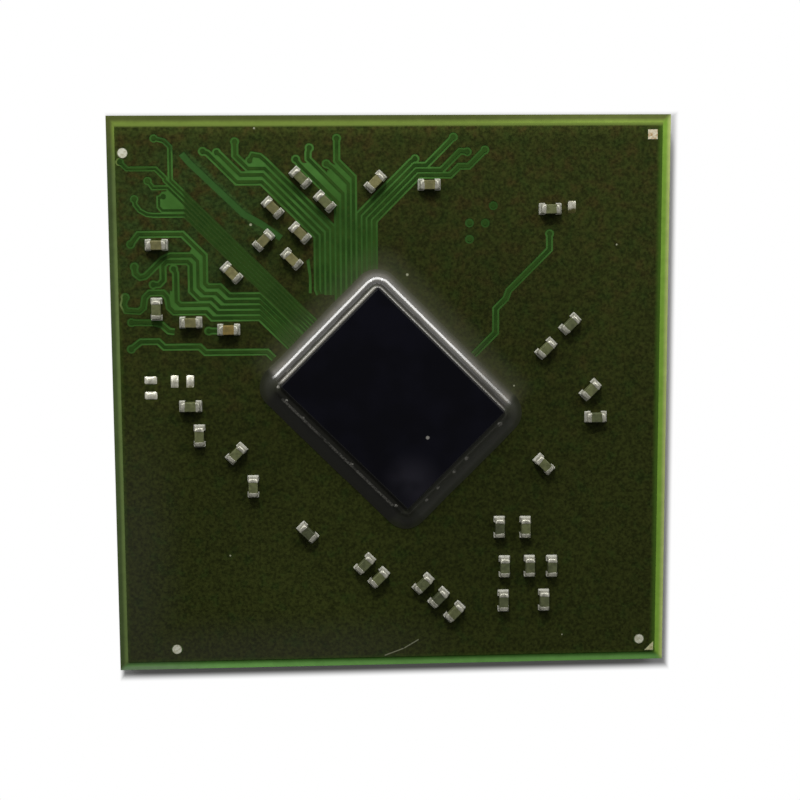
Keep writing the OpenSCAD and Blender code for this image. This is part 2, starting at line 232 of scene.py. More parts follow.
class Shader:
    """Builds one node tree, of a material or of the world."""

    noise_rough: float = 0.55
    streak_core: float = 0.4

    def __init__(self, tree: bpy.types.NodeTree) -> None:
        """Starts from an empty tree."""
        self.tree = tree
        tree.nodes.clear()

    def node(self, kind: str, settings: dict[str, Any], sockets: dict[Any, Any]) -> bpy.types.Node:
        """Adds a node.

        Args:
            kind: The node's type.
            settings: Its properties, set first.
            sockets: Values or links of its inputs, by name or number.

        Returns:
            The new node.
        """
        made = self.tree.nodes.new(kind)
        for key, value in settings.items():
            setattr(made, key, value)
        for key, value in sockets.items():
            if isinstance(value, Wire):
                self.tree.links.new(value.socket, made.inputs[key])
            elif isinstance(value, bpy.types.NodeSocket):
                self.tree.links.new(value, made.inputs[key])
            else:
                made.inputs[key].default_value = value
        return made

    def wire(self, kind: str, settings: dict[str, Any], sockets: dict[Any, Any], output: Any = 0) -> Wire:
        """Adds a node and returns one of its outputs.

        Args:
            kind: The node's type.
            settings: Its properties, set first.
            sockets: Values or links of its inputs, by name or number.
            output: Name or number of the output.

        Returns:
            The output, wrapped.
        """
        return Wire(self, self.node(kind, settings, sockets).outputs[output])

    def split(self, vector: Wire) -> tuple[Wire, Wire, Wire]:
        """Splits a vector into its three parts."""
        parts = self.node("ShaderNodeSeparateXYZ", {}, {0: vector}).outputs
        return Wire(self, parts[0]), Wire(self, parts[1]), Wire(self, parts[2])

    @cached_property
    def place(self) -> Wire:
        """Position on the part."""
        metres = self.wire("ShaderNodeTexCoord", {}, {}, "Object")
        return self.wire("ShaderNodeVectorMath", {"operation": "SCALE"}, {0: metres, "Scale": 1 / MM})

    @cached_property
    def axes(self) -> tuple[Wire, Wire, Wire]:
        """Position along X, Y and Z."""
        return self.split(self.place)

    def level_face(self) -> Wire:
        """1 where the surface lies level and 0 where it stands upright."""
        return abs(self.split(self.wire("ShaderNodeNewGeometry", {}, {}, "Normal"))[2])

    def noise(self, size: float, detail: int, stretch: Point | None = None) -> Wire:
        """Soft random values about 0.5.

        Args:
            size: Size of the patches.
            detail: Number of finer layers.
            stretch: Scale of each axis, where the patches aren't round.

        Returns:
            The value.
        """
        vector = self.place
        if stretch is not None:
            vector = self.wire("ShaderNodeVectorMath", {"operation": "MULTIPLY"}, {0: vector, 1: stretch})
        sockets = {"Vector": vector, "Scale": 1 / size, "Detail": detail, "Roughness": self.noise_rough}
        return self.wire("ShaderNodeTexNoise", {}, sockets)

    def blend(self, share: Any, first: Any, second: Any) -> Wire:
        """Mixes two colours.

        Args:
            share: Share of the second colour.
            first: A colour or a wire.
            second: A colour or a wire.

        Returns:
            The mixed colour.
        """
        return self.wire("ShaderNodeMix", {"data_type": "RGBA"}, {0: share, 6: first, 7: second}, 2)

    def shade(self, colour: Any, level: Any) -> Wire:
        """Multiplies a colour by a grey level.

        Args:
            colour: A colour or a wire.
            level: A number or a wire.

        Returns:
            The shaded colour.
        """
        grey = self.wire("ShaderNodeCombineColor", {}, {0: level, 1: level, 2: level})
        settings = {"data_type": "RGBA", "blend_type": "MULTIPLY"}
        return self.wire("ShaderNodeMix", settings, {0: 1.0, 6: colour, 7: grey}, 2)

    def grained(self, colour: Any, noise: Wire, spread: float) -> Wire:
        """Darkens and lightens a colour by noise."""
        return self.shade(colour, noise.about(1, spread))

    def spot(self, place: Spot, soft: float) -> Wire:
        """A round patch.

        Args:
            place: Its middle and the radius at which it has faded out.
            soft: Share of the radius over which it fades.

        Returns:
            1 inside the patch and 0 outside it.
        """
        x, y, _ = self.axes
        middle_x, middle_y, radius = place
        away = ((x - middle_x) ** 2 + (y - middle_y) ** 2) ** 0.5
        return away.fall(radius * (1 - soft), radius)

    def spots(self, places: Sequence[Spot], soft: float) -> Wire:
        """Several round patches.

        Args:
            places: Their middles and radii.
            soft: Share of each radius over which a patch fades.

        Returns:
            1 inside any of the patches and 0 outside them.
        """
        total = self.spot(places[0], soft)
        for place in places[1:]:
            total = total.larger(self.spot(place, soft))
        return total

    def streak(self, start: Place, end: Place, half: float) -> Wire:
        """A thin straight mark between two places.

        Args:
            start: One end of the mark.
            end: The other end.
            half: Half of the mark's width.

        Returns:
            1 on the mark and 0 off it.
        """
        x, y, _ = self.axes
        along = Vector(end) - Vector(start)
        length = along.length
        along.normalize()
        run = (x - start[0]) * along.x + (y - start[1]) * along.y
        side = abs((y - start[1]) * along.x - (x - start[0]) * along.y)
        return side.fall(half * self.streak_core, half) * run.rise(0, half) * run.fall(length - half, length)

    def bump(self, height: Wire, strength: float, depth: float) -> Wire:
        """Turns heights into a normal.

        Args:
            height: Height from 0 to 1.
            strength: Strength of the effect.
            depth: Depth of a height of 1.

        Returns:
            The normal.
        """
        sockets = {"Strength": strength, "Distance": depth * MM, "Height": height}
        return self.wire("ShaderNodeBump", {}, sockets)

    def surface(self, sockets: dict[str, Any]) -> None:
        """Ends a material with a Principled shader.

        Args:
            sockets: Values or links of the shader's inputs.
        """
        shader = self.node("ShaderNodeBsdfPrincipled", {}, sockets)
        self.node("ShaderNodeOutputMaterial", {}, {"Surface": shader.outputs[0]})


def material(name: str) -> tuple[bpy.types.Material, Shader]:
    """Makes an empty material.

    Args:
        name: The material's name.

    Returns:
        The material and the builder of its nodes.
    """
    made = bpy.data.materials.new(name)
    made.use_nodes = True
    return made, Shader(made.node_tree)


@dataclass(frozen=True)
class PackageSizes:
    """Sizes and levels that several pieces share."""

    half: float = 14.5
    copper_half: float = 14.08
    laminate_base: float = 0.46
    laminate_top: float = 1.56
    copper_top: float = 1.58
    die_turn: float = -math.pi / 4  # in radians
    die_middle_y: float = -0.1
    die_half_l: float = 4.65
    die_half_w: float = 3.6
    bump_h: float = 0.07

    def die_axes(self, shader: Shader) -> tuple[Wire, Wire]:
        """Position along the die's long and short sides.

        Args:
            shader: The builder of the nodes.

        Returns:
            Distances from the die's middle.
        """
        x, y, _ = shader.axes
        drop = y - self.die_middle_y
        turn = math.cos(self.die_turn)
        return (x - drop) * turn, (x + drop) * turn

    def inside(self, fade: Fade) -> Fade:
        """Turns distances inwards from the copper's edge into distances from its middle."""
        return self.copper_half - fade[0], self.copper_half - fade[1]


SIZES = PackageSizes()


@dataclass(frozen=True)
class ResinBleed:
    """Thin resin that has run out on the mask past the fillet, on the die's two upper sides."""

    film: Colour = tint(84, 84, 66)
    near: Ramp = (1.3, 0.85, 0.34)
    far: Ramp = (2.4, 1.2, 0.24)
    upper_right: Fade = (3.0, 3.9)
    upper_left: Fade = (4.0, 4.9)
    lower_left: Fade = (3.2, 4.4)
    lower_right: Fade = (4.2, 5.4)

    def stain(self, shader: Shader, colour: Wire, strength: float) -> Wire:
        """Lays the film on a colour.

        Args:
            shader: The builder of the nodes.
            colour: The colour below.
            strength: Strength of the film.

        Returns:
            The stained colour.
        """
        along, across = SIZES.die_axes(shader)
        past_l = (abs(along) - SIZES.die_half_l).larger(0)
        past_w = (abs(across) - SIZES.die_half_w).larger(0)
        away = (past_l * past_l + past_w * past_w) ** 0.5
        share = away.ramp(*self.near) + away.ramp(*self.far)
        upper = across.rise(*self.upper_right).larger((-along).rise(*self.upper_left))
        lower = (-across).rise(*self.lower_left).larger(along.rise(*self.lower_right))
        return shader.blend(share * upper * (1 - lower) * strength, colour, self.film)


BLEED = ResinBleed()


@dataclass(frozen=True)
class RimTone:
    """Colours across the bare rim on one side of the laminate, and how their level changes along it."""

    inner: Colour
    outer: Colour
    turn: Fade
    changes: tuple[Ramp, ...]
    level: float = 1.0

    def make(self, shader: Shader, reach: Wire, run: Wire) -> Wire:
        """Works out the rim's colour.

        Args:
            shader: The builder of the nodes.
            reach: Distance from the laminate's middle.
            run: Position along the rim.

        Returns:
            The colour.
        """
        level: Any = self.level
        for change in self.changes:
            level = level + run.ramp(*change)
        return shader.shade(shader.blend(reach.rise(*self.turn), self.inner, self.outer), level)


@dataclass(frozen=True)
class LaminateFinish:
    """Green masked glass laminate with a bare rim, cut edges and rings round the balls."""

    open_field: Colour = tint(58, 96, 39)
    open_field_pale: Colour = tint(66, 108, 47)
    pale_patches: Fade = (0.42, 0.62)
    bundle_field: Colour = tint(48, 70, 28)
    bundle_line: float = -0.58
    bundle_half: Fade = (0.72, 0.86)
    bundle_left: Fade = (-10.75, -10.55)
    bundle_end: Fade = (-9.0, -8.2)
    band_field: Colour = tint(49, 83, 37)
    band_line: float = 2.1
    band_half: Fade = (0.55, 0.7)
    band_end: Fade = (-14.0, -13.4)
    dim_back: Spot = (-2.8, 7.6, 3.4)
    dim_back_soft: float = 0.5
    dim_back_share: float = 0.3
    dim_loop: Spot = (4.6, 9.0, 1.8)
    dim_loop_soft: float = 0.3
    dim_loop_share: float = 0.34
    dim_right: Ramp = (2, 4, 0.2)
    dim_left: Ramp = (-11.6, -13.2, 0.25)
    bleed: float = 0.7

    # The outer colour of each rim is painted light: the darker outer strips of the back and left rims are
    # painted shade on the edge, and the paler outer strips of the front and right rims are a painted lit
    # edge.
    rim_back: RimTone = RimTone(tint(113, 133, 58), tint(80, 88, 44), (14.1, 14.34), ((2, 12, 0.5),), 0.96)
    rim_left: RimTone = RimTone(tint(97, 115, 64), tint(67, 82, 46), (14.16, 14.34), ((5, 11, -0.2),))
    rim_front: RimTone = RimTone(tint(38, 69, 20), tint(98, 146, 74), (14.1, 14.4), ((1, -9, 0.25),))
    rim_right: RimTone = RimTone(
        tint(113, 149, 55), tint(160, 174, 102), (14.24, 14.47), ((10.5, 14, 0.12), (-6, -13, 0.15))
    )
    rim_start: Fade = (0.3, 0.1)
    seam: Fade = (-0.2, 0.2)
    back_left_seam: Fade = (-3.0, 0.2)
    # The front rim turns greyer towards the left, most at its outer edge.
    grey_rim: Colour = tint(110, 116, 108)
    grey_wide: Ramp = (-9, -13, 0.12)
    pale_edge: Ramp = (-8, -13.5, 0.5)
    pale_edge_reach: Fade = (14.2, 14.42)

    glass: Colour = tint(150, 152, 96)
    glass_dark: Colour = tint(96, 104, 58)
    glass_threads: Fade = (0.38, 0.66)
    weave_stretch: Point = (6.0, 6.0, 30.0)
    inner_copper: Colour = tint(112, 78, 44)
    layers: int = 6
    layer_line: Ramp = (0.15, 0.06, 0.6)
    top_mask: Fade = (0.93, 0.97)
    base_mask: Fade = (0.03, 0.07)
    level_start: Fade = (0.3, 0.7)

    underside: Colour = tint(44, 66, 32)
    ball_ring: Colour = tint(92, 116, 66)
    ring_edge: Fade = (0.33, 0.36)
    underside_height: Fade = (0.005, 0.02)

    grain: Noise = (0.35, 4)
    patches: Noise = (2.4, 2)
    rim_patches: Noise = (0.9, 3)
    weave: Noise = (1.0, 3)
    grain_spread: float = 0.36
    rim_spread: float = 0.28
    underside_spread: float = 0.4
    grain_weight: float = 0.6
    rough: Level = (0.5, 0.16)
    gloss: float = 0.08
    relief: Relief = (0.25, 0.02)

    def mask(self, shader: Shader, patches: Wire) -> Wire:
        """Colour of the mask where no copper lies below it.

        Args:
            shader: The builder of the nodes.
            patches: Wide noise.

        Returns:
            The colour.
        """
        x, y, _ = shader.axes
        total, apart = x + y, x - y
        colour = shader.blend(patches.rise(*self.pale_patches), self.open_field, self.open_field_pale)
        bundle = abs(total - self.bundle_line).fall(*self.bundle_half) * apart.fall(*self.bundle_end)
        colour = shader.blend(bundle * x.rise(*self.bundle_left), colour, self.bundle_field)
        band = abs(total - self.band_line).fall(*self.band_half) * apart.fall(*self.band_end)
        colour = shader.blend(band, colour, self.band_field)
        back = shader.spot(self.dim_back, self.dim_back_soft)
        colour = shader.shade(colour, 1 - self.dim_back_share * back)
        loop = shader.spot(self.dim_loop, self.dim_loop_soft)
        colour = shader.shade(colour, 1 - self.dim_loop_share * loop)
        colour = shader.shade(colour, 1 - x.ramp(*self.dim_right) - x.ramp(*self.dim_left))
        return BLEED.stain(shader, colour, self.bleed)

    def rim(self, shader: Shader, reach: Wire) -> Wire:
        """Colour of the bare rim round the copper, with a painted shaded edge on the back and left and a
        painted lit edge on the front and right.

        Args:
            shader: The builder of the nodes.
            reach: Distance from the laminate's middle.

        Returns:
            The colour.
        """
        x, y, _ = shader.axes
        total = x + y
        back = self.rim_back.make(shader, reach, x)
        left = self.rim_left.make(shader, reach, y)
        upper = shader.blend(total.rise(*self.back_left_seam), left, back)
        # Greyer towards the left of the front rim.
        paler = x.ramp(*self.grey_wide) + x.ramp(*self.pale_edge) * reach.rise(*self.pale_edge_reach)
        front = shader.blend(paler, self.rim_front.make(shader, reach, x), self.grey_rim)
        right = self.rim_right.make(shader, reach, y)
        lower = shader.blend(total.rise(*self.seam), front, right)
        colour = shader.blend((x - y).rise(*self.seam), upper, lower)
        return shader.grained(colour, shader.noise(*self.rim_patches), self.rim_spread)

    def cut(self, shader: Shader, weave: Wire) -> Wire:
        """Colour of the cut edges: glass threads, copper layers, and the mask above and below.

        Args:
            shader: The builder of the nodes.
            weave: Noise stretched along the threads.

        Returns:
            The colour.
        """
        depth = (shader.axes[2] - SIZES.laminate_base) / (SIZES.laminate_top - SIZES.laminate_base)
        colour = shader.blend(weave.rise(*self.glass_threads), self.glass_dark, self.glass)
        layer = abs((depth * self.layers).fraction() - 0.5)
        colour = shader.blend(layer.ramp(*self.layer_line), colour, self.inner_copper)
        masked = depth.rise(*self.top_mask).larger(depth.fall(*self.base_mask))
        return shader.blend(masked, colour, self.underside)

    def below(self, shader: Shader, patches: Wire) -> Wire:
        """Colour of the underside, with a ring round each ball.

        Args:
            shader: The builder of the nodes.
            patches: Wide noise.

        Returns:
            The colour.
        """
        from_x, from_y = (axis.fraction() - 0.5 for axis in shader.axes[:2])
        away = (from_x * from_x + from_y * from_y) ** 0.5
        colour = shader.blend(away.fall(*self.ring_edge), self.underside, self.ball_ring)
        return shader.grained(colour, patches, self.underside_spread)

    def make(self) -> bpy.types.Material:
        """Builds the material.

        Returns:
            The material.
        """
        made, shader = material("masked_laminate")
        x, y, z = shader.axes
        grain = shader.noise(*self.grain)
        patches = shader.noise(*self.patches)
        weave = shader.noise(*self.weave, self.weave_stretch)
        reach = abs(x).larger(abs(y))
        on_rim = reach.rise(*SIZES.inside(self.rim_start))
        top = shader.blend(on_rim, self.mask(shader, patches), self.rim(shader, reach))
        top = shader.grained(top, grain, self.grain_spread)
        level = shader.level_face().rise(*self.level_start)
        colour = shader.blend(level, self.cut(shader, weave), top)
        under = (z - SIZES.laminate_base).fall(*self.underside_height)
        shader.surface({
            "Base Color": shader.blend(under, colour, self.below(shader, patches)),
            "Roughness": grain.about(*self.rough),
            "Specular IOR Level": self.gloss,
            "Normal": shader.bump(grain * self.grain_weight + weave * (1 - self.grain_weight), *self.relief),
        })
        return made


@dataclass(frozen=True)
class MaskedCopperFinish:
    """Copper plane below dark mask: olive, mottled with brown and green, with dust and a fine scratch."""

    olive: Colour = tint(41, 46, 16)
    olive_light: Colour = tint(44, 50, 18)
    light_slope: float = 0.04
    light_clouds: Fade = (0.25, 0.95)
    brown: Colour = tint(54, 44, 20)
    brown_slope: float = 0.03
    brown_clouds: Fade = (0.35, 0.95)
    brown_mottle: Ramp = (0.48, 0.68, 0.5)
    green: Colour = tint(33, 49, 17)
    green_mottle: Ramp = (0.48, 0.32, 0.42)
    routed_green: Colour = tint(40, 58, 25)
    routed: Spot = (-10.4, 8.6, 6.2)
    routed_soft: float = 0.6
    routed_mottle: Ramp = (0.62, 0.4, 0.6)
    band_green: Colour = tint(44, 72, 33)
    band_line: float = 1.95
    band_half: Ramp = (0.5, 0.2, 0.6)
    band_start: Fade = (-23.6, -22.8)
    band_end: Fade = (-15.6, -14.4)
    dark_middle: Ramp = (13.5, 7.5, 0.16)
    pale: Spot = (-3.5, -8.5, 6.5)
    pale_soft: float = 0.7
    pale_share: float = 0.2

    # Grey laid over the left and the front of the plane.
    haze_and_reflection: Colour = tint(70, 68, 66)
    haze_share: float = 0.17
    haze_left: Fade = (-13.6, -10.5)
    haze_left_up: Fade = (-9, 1)
    haze_front: Fade = (-13.8, -11.2)
    haze_front_on: Fade = (-3, 5)
    bright_back: Fade = (0.8, 0.2)
    bright_back_share: float = 0.4
    edge_green: Colour = tint(66, 98, 30)
    right_edge: Fade = (0.34, 0.0)
    right_edge_share: float = 0.75
    outer_edge: Fade = (0.22, 0.0)
    outer_edge_share: float = 0.15
    back_rim: Colour = tint(110, 129, 58)
    back_edge: Fade = (0.2, 0.05)

    dust: Colour = tint(150, 152, 126)
    specks: tuple[Spot, ...] = (
        (-10.4, 10.1, 0.09), (-7.25, 8.95, 0.09), (-9.85, 4.5, 0.08), (-7.0, 13.85, 0.07),
        (0.8, 6.32, 0.09), (6.4, 0.45, 0.06), (11.75, 7.8, 0.06), (-8.6, -8.4, 0.06), (9.05, -13.05, 0.05),
    )
    speck_soft: float = 0.6
    scratch: tuple[Place, ...] = ((-0.5, -14.0), (0.55, -13.62), (1.35, -13.15))
    scratch_half: float = 0.04
    scratch_share: float = 0.5
    bleed: float = 1.0

    fine: Noise = (0.15, 3)
    mottle: Noise = (0.8, 3)
    clouds: Noise = (3.2, 3)
    grain_contrast: Fade = (0.25, 0.75)
    grain_spread: float = 0.96
    rough: Level = (0.57, 0.14)
    gloss: float = 0.08
    relief: Relief = (0.3, 0.02)

    def tone(self, shader: Shader, mottle: Wire) -> Wire:
        """Colour of the plane without its grain.

        Args:
            shader: The builder of the nodes.
            mottle: Noise of middle size.

        Returns:
            The colour.
        """
        x, y, _ = shader.axes
        clouds = shader.noise(*self.clouds)
        light = (y * self.light_slope + clouds).rise(*self.light_clouds)
        colour = shader.blend(light, self.olive, self.olive_light)
        reddish = mottle.ramp(*self.brown_mottle) * (y * self.brown_slope + clouds).rise(*self.brown_clouds)
        colour = shader.blend(reddish, colour, self.brown)
        colour = shader.blend(mottle.ramp(*self.green_mottle), colour, self.green)
        routed = shader.spot(self.routed, self.routed_soft) * mottle.ramp(*self.routed_mottle)
        colour = shader.blend(routed, colour, self.routed_green)
        apart = x - y
        band = abs(x + y - self.band_line).ramp(*self.band_half)
        band = band * apart.rise(*self.band_start) * apart.fall(*self.band_end)
        colour = shader.blend(band, colour, self.band_green)
        away = (x * x + y * y) ** 0.5
        colour = shader.shade(colour, 1 - away.ramp(*self.dark_middle))
        return shader.shade(colour, 1 + self.pale_share * shader.spot(self.pale, self.pale_soft))

    def edges(self, shader: Shader, colour: Wire) -> Wire:
        """Adds haze on the left and in front, and the changes along the plane's edges.

        Args:
            shader: The builder of the nodes.
            colour: The plane's colour.

        Returns:
            The changed colour.
        """
        x, y, _ = shader.axes
        left = x.fall(*self.haze_left) * y.fall(*self.haze_left_up)
        front = y.fall(*self.haze_front) * x.fall(*self.haze_front_on)
        colour = shader.blend(left.larger(front) * self.haze_share, colour, self.haze_and_reflection)
        back = y.rise(*SIZES.inside(self.bright_back))
        colour = shader.shade(colour, 1 + self.bright_back_share * back)
        reach = abs(x).larger(abs(y))
        right = x.rise(*SIZES.inside(self.right_edge)) * self.right_edge_share
        outer = reach.rise(*SIZES.inside(self.outer_edge)) * self.outer_edge_share
        colour = shader.blend(right.larger(outer), colour, self.edge_green)
        return shader.blend(y.rise(*SIZES.inside(self.back_edge)), colour, self.back_rim)

    def marks(self, shader: Shader) -> Wire:
        """Specks of dust and a scratch.

        Args:
            shader: The builder of the nodes.

        Returns:
            1 on them and 0 off them.
        """
        marks = shader.spots(self.specks, self.speck_soft)
        for start, end in zip(self.scratch, self.scratch[1:]):
            marks = marks.larger(shader.streak(start, end, self.scratch_half) * self.scratch_share)
        return marks

    def make(self) -> bpy.types.Material:
        """Builds the material.

        Returns:
            The material.
        """
        made, shader = material("masked_copper")
        fine = shader.noise(*self.fine)
        mottle = shader.noise(*self.mottle)
        grain = fine.rise(*self.grain_contrast)
        colour = shader.grained(self.tone(shader, mottle), grain, self.grain_spread)
        colour = BLEED.stain(shader, self.edges(shader, colour), self.bleed)
        shader.surface({
            "Base Color": shader.blend(self.marks(shader), colour, self.dust),
            "Roughness": mottle.about(*self.rough),
            "Specular IOR Level": self.gloss,
            "Normal": shader.bump((fine + mottle) * 0.5, *self.relief),
        })
        return made


@dataclass(frozen=True)
class MaskedTraceFinish:
    """Traces below mask: darker green than the open laminate beside them."""

    deep: Colour = tint(36, 61, 21)
    light: Colour = tint(45, 72, 26)
    light_patches: Fade = (0.4, 0.62)
    olive: Colour = tint(49, 65, 24)
    olive_grain: Ramp = (0.52, 0.72, 0.5)
    bleed: float = 0.8
    fine: Noise = (0.22, 2)
    patches: Noise = (1.8, 2)
    grain_spread: float = 0.4
    rough: Level = (0.48, 0.12)
    gloss: float = 0.08
    relief: Relief = (0.2, 0.015)

    def make(self) -> bpy.types.Material:
        """Builds the material.

        Returns:
            The material.
        """
        made, shader = material("masked_trace")
        fine = shader.noise(*self.fine)
        patches = shader.noise(*self.patches)
        colour = shader.blend(patches.rise(*self.light_patches), self.deep, self.light)
        colour = shader.blend(fine.ramp(*self.olive_grain), colour, self.olive)
        colour = shader.grained(colour, fine, self.grain_spread)
        shader.surface({
            "Base Color": BLEED.stain(shader, colour, self.bleed),
            "Roughness": fine.about(*self.rough),
            "Specular IOR Level": self.gloss,
            "Normal": shader.bump(fine, *self.relief),
        })
        return made


@dataclass(frozen=True)
class PlatedMarkFinish:
    """Bare gold plating of the marks, pale with deeper patches. Round marks get a dull outline."""

    name: str
    pale: Colour
    deep: Colour
    dots: tuple[Spot, ...] = ()
    dot_soft: float = 0.16
    outline: Colour = tint(104, 102, 74)
    deep_patches: Fade = (0.4, 0.66)
    patches: Noise = (0.14, 3)
    fine: Noise = (0.04, 2)
    grain_spread: float = 0.3
    metallic: Level = (0.35, 0.2)
    rough: Level = (0.48, 0.2)
    relief: Relief = (0.35, 0.01)

    def make(self) -> bpy.types.Material:
        """Builds the material.

        Returns:
            The material.
        """
        made, shader = material(self.name)
        patches = shader.noise(*self.patches)
        fine = shader.noise(*self.fine)
        colour = shader.blend(patches.rise(*self.deep_patches), self.pale, self.deep)
        if self.dots:
            colour = shader.blend(shader.spots(self.dots, self.dot_soft), self.outline, colour)
        shader.surface({
            "Base Color": shader.grained(colour, fine, self.grain_spread),
            "Metallic": patches.about(*self.metallic),
            "Roughness": fine.about(*self.rough),
            "Normal": shader.bump(fine, *self.relief),
        })
        return made


@dataclass(frozen=True)
class BrightMetalFinish:
    """Tin, solder or ball alloy: pale metal with soft blotches and a fine grain."""

    name: str
    pale: Colour
    dull: Colour
    metallic: float
    rough: float
    fine: Noise = (0.06, 2)
    # Spots of the stain colour. On the lone bare pad they are a painted dark reflection.
    painted_reflections: tuple[Spot, ...] = ()
    stain: Colour = tint(98, 96, 52)
    painted_reflection_soft: float = 0.5
    swells: tuple[Spot, ...] = ()
    swell_relief: Relief = (1.0, 0.09)
    swell_grain: float = 0.07
    dull_blotches: Fade = (0.4, 0.68)
    blotches: Noise = (0.22, 3)
    grain_spread: float = 0.24
    metallic_spread: float = 0.2
    rough_spread: float = 0.18
    fine_weight: float = 0.4
    relief: Relief = (0.3, 0.02)

    def make(self) -> bpy.types.Material:
        """Builds the material.

        Returns:
            The material.
        """
        made, shader = material(self.name)
        blotch = shader.noise(*self.blotches)
        fine = shader.noise(*self.fine)
        colour = shader.blend(blotch.rise(*self.dull_blotches), self.pale, self.dull)
        if self.painted_reflections:
            colour = shader.blend(shader.spots(self.painted_reflections, self.painted_reflection_soft), colour, self.stain)
        height = fine * self.fine_weight + blotch * (1 - self.fine_weight)
        if self.swells:
            height = shader.spots(self.swells, 1.0) + height * self.swell_grain
        shader.surface({
            "Base Color": shader.grained(colour, fine, self.grain_spread),
            "Metallic": blotch.about(self.metallic, self.metallic_spread),
            "Roughness": fine.about(self.rough, self.rough_spread),
            "Normal": shader.bump(height, *(self.swell_relief if self.swells else self.relief)),
        })
        return made


class Ceramic(Enum):
    """Body colours of the capacitors: main tone and the tone of its patches."""

    STONE = (tint(108, 105, 68), tint(92, 90, 57))
    PALE_OLIVE = (tint(120, 116, 76), tint(104, 100, 64))
    AMBER = (tint(124, 106, 56), tint(102, 90, 49))
    OLIVE = (tint(97, 102, 66), tint(82, 86, 55))
    DEEP_OLIVE = (tint(88, 93, 62), tint(72, 77, 50))
    DARK_OLIVE = (tint(73, 78, 53), tint(60, 64, 43))


@dataclass(frozen=True)
class CeramicFinish:
    """Fired ceramic of one colour, with soft patches and a fine grain."""

    ceramic: Ceramic
    dark_patches: Fade = (0.38, 0.66)
    patches: Noise = (0.3, 3)
    fine: Noise = (0.035, 2)
    grain_spread: float = 0.32
    rough: Level = (0.52, 0.16)
    gloss: float = 0.45
    relief: Relief = (0.25, 0.008)

    def make(self) -> bpy.types.Material:
        """Builds the material.

        Returns:
            The material.
        """
        made, shader = material("ceramic_" + self.ceramic.name.lower())
        patches = shader.noise(*self.patches)
        fine = shader.noise(*self.fine)
        colour = shader.blend(patches.rise(*self.dark_patches), *self.ceramic.value)
        shader.surface({
            "Base Color": shader.grained(colour, fine, self.grain_spread),
            "Roughness": fine.about(*self.rough),
            "Specular IOR Level": self.gloss,
            "Normal": shader.bump(fine, *self.relief),
        })
        return made


@dataclass(frozen=True)
class SiliconFinish:
    """Polished back of the die, near black, with a speck, a painted reflection near its bottom corner, and
    ground edges.
    """

    black: Colour = tint(9, 9, 14)
    blue_black: Colour = tint(12, 12, 19)
    blue_clouds: Fade = (0.4, 0.65)
    # Painted reflection: a paler patch near the die's bottom corner.
    haze_and_reflection: Colour = tint(40, 39, 46)
    reflection_patch: Spot = (0.95, -4.5, 1.9)
    reflection_patch_soft: float = 0.95
    reflection_patch_clouds: Ramp = (0.3, 0.6, 0.6)
    side: Colour = tint(12, 12, 15)
    side_rough: float = 0.45
    level_start: Fade = (0.75, 0.95)
    dust: Colour = tint(150, 148, 140)
    speck: Spot = (1.78, -2.12, 0.12)
    speck_soft: float = 0.5
    speck_share: float = 0.7
    clouds: Noise = (2.6, 2)
    fine: Noise = (0.09, 3)
    rough: Level = (0.14, 0.08)
    gloss: float = 0.35
    relief: Relief = (0.06, 0.006)

    def make(self) -> bpy.types.Material:
        """Builds the material.

        Returns:
            The material.
        """
        made, shader = material("polished_silicon")
        clouds = shader.noise(*self.clouds)
        fine = shader.noise(*self.fine)
        colour = shader.blend(clouds.rise(*self.blue_clouds), self.black, self.blue_black)
        # Painted reflection near the bottom corner.
        haze_and_reflection = shader.spot(self.reflection_patch, self.reflection_patch_soft) * clouds.ramp(*self.reflection_patch_clouds)
        colour = shader.blend(haze_and_reflection, colour, self.haze_and_reflection)
        upright = shader.level_face().fall(*self.level_start)
        colour = shader.blend(upright, colour, self.side)
        speck = shader.spot(self.speck, self.speck_soft) * self.speck_share
        shader.surface({
            "Base Color": shader.blend(speck, colour, self.dust),
            "Roughness": fine.about(*self.rough) + self.side_rough * upright,
            "Specular IOR Level": self.gloss,
            "Normal": shader.bump(fine, *self.relief),
        })
        return made


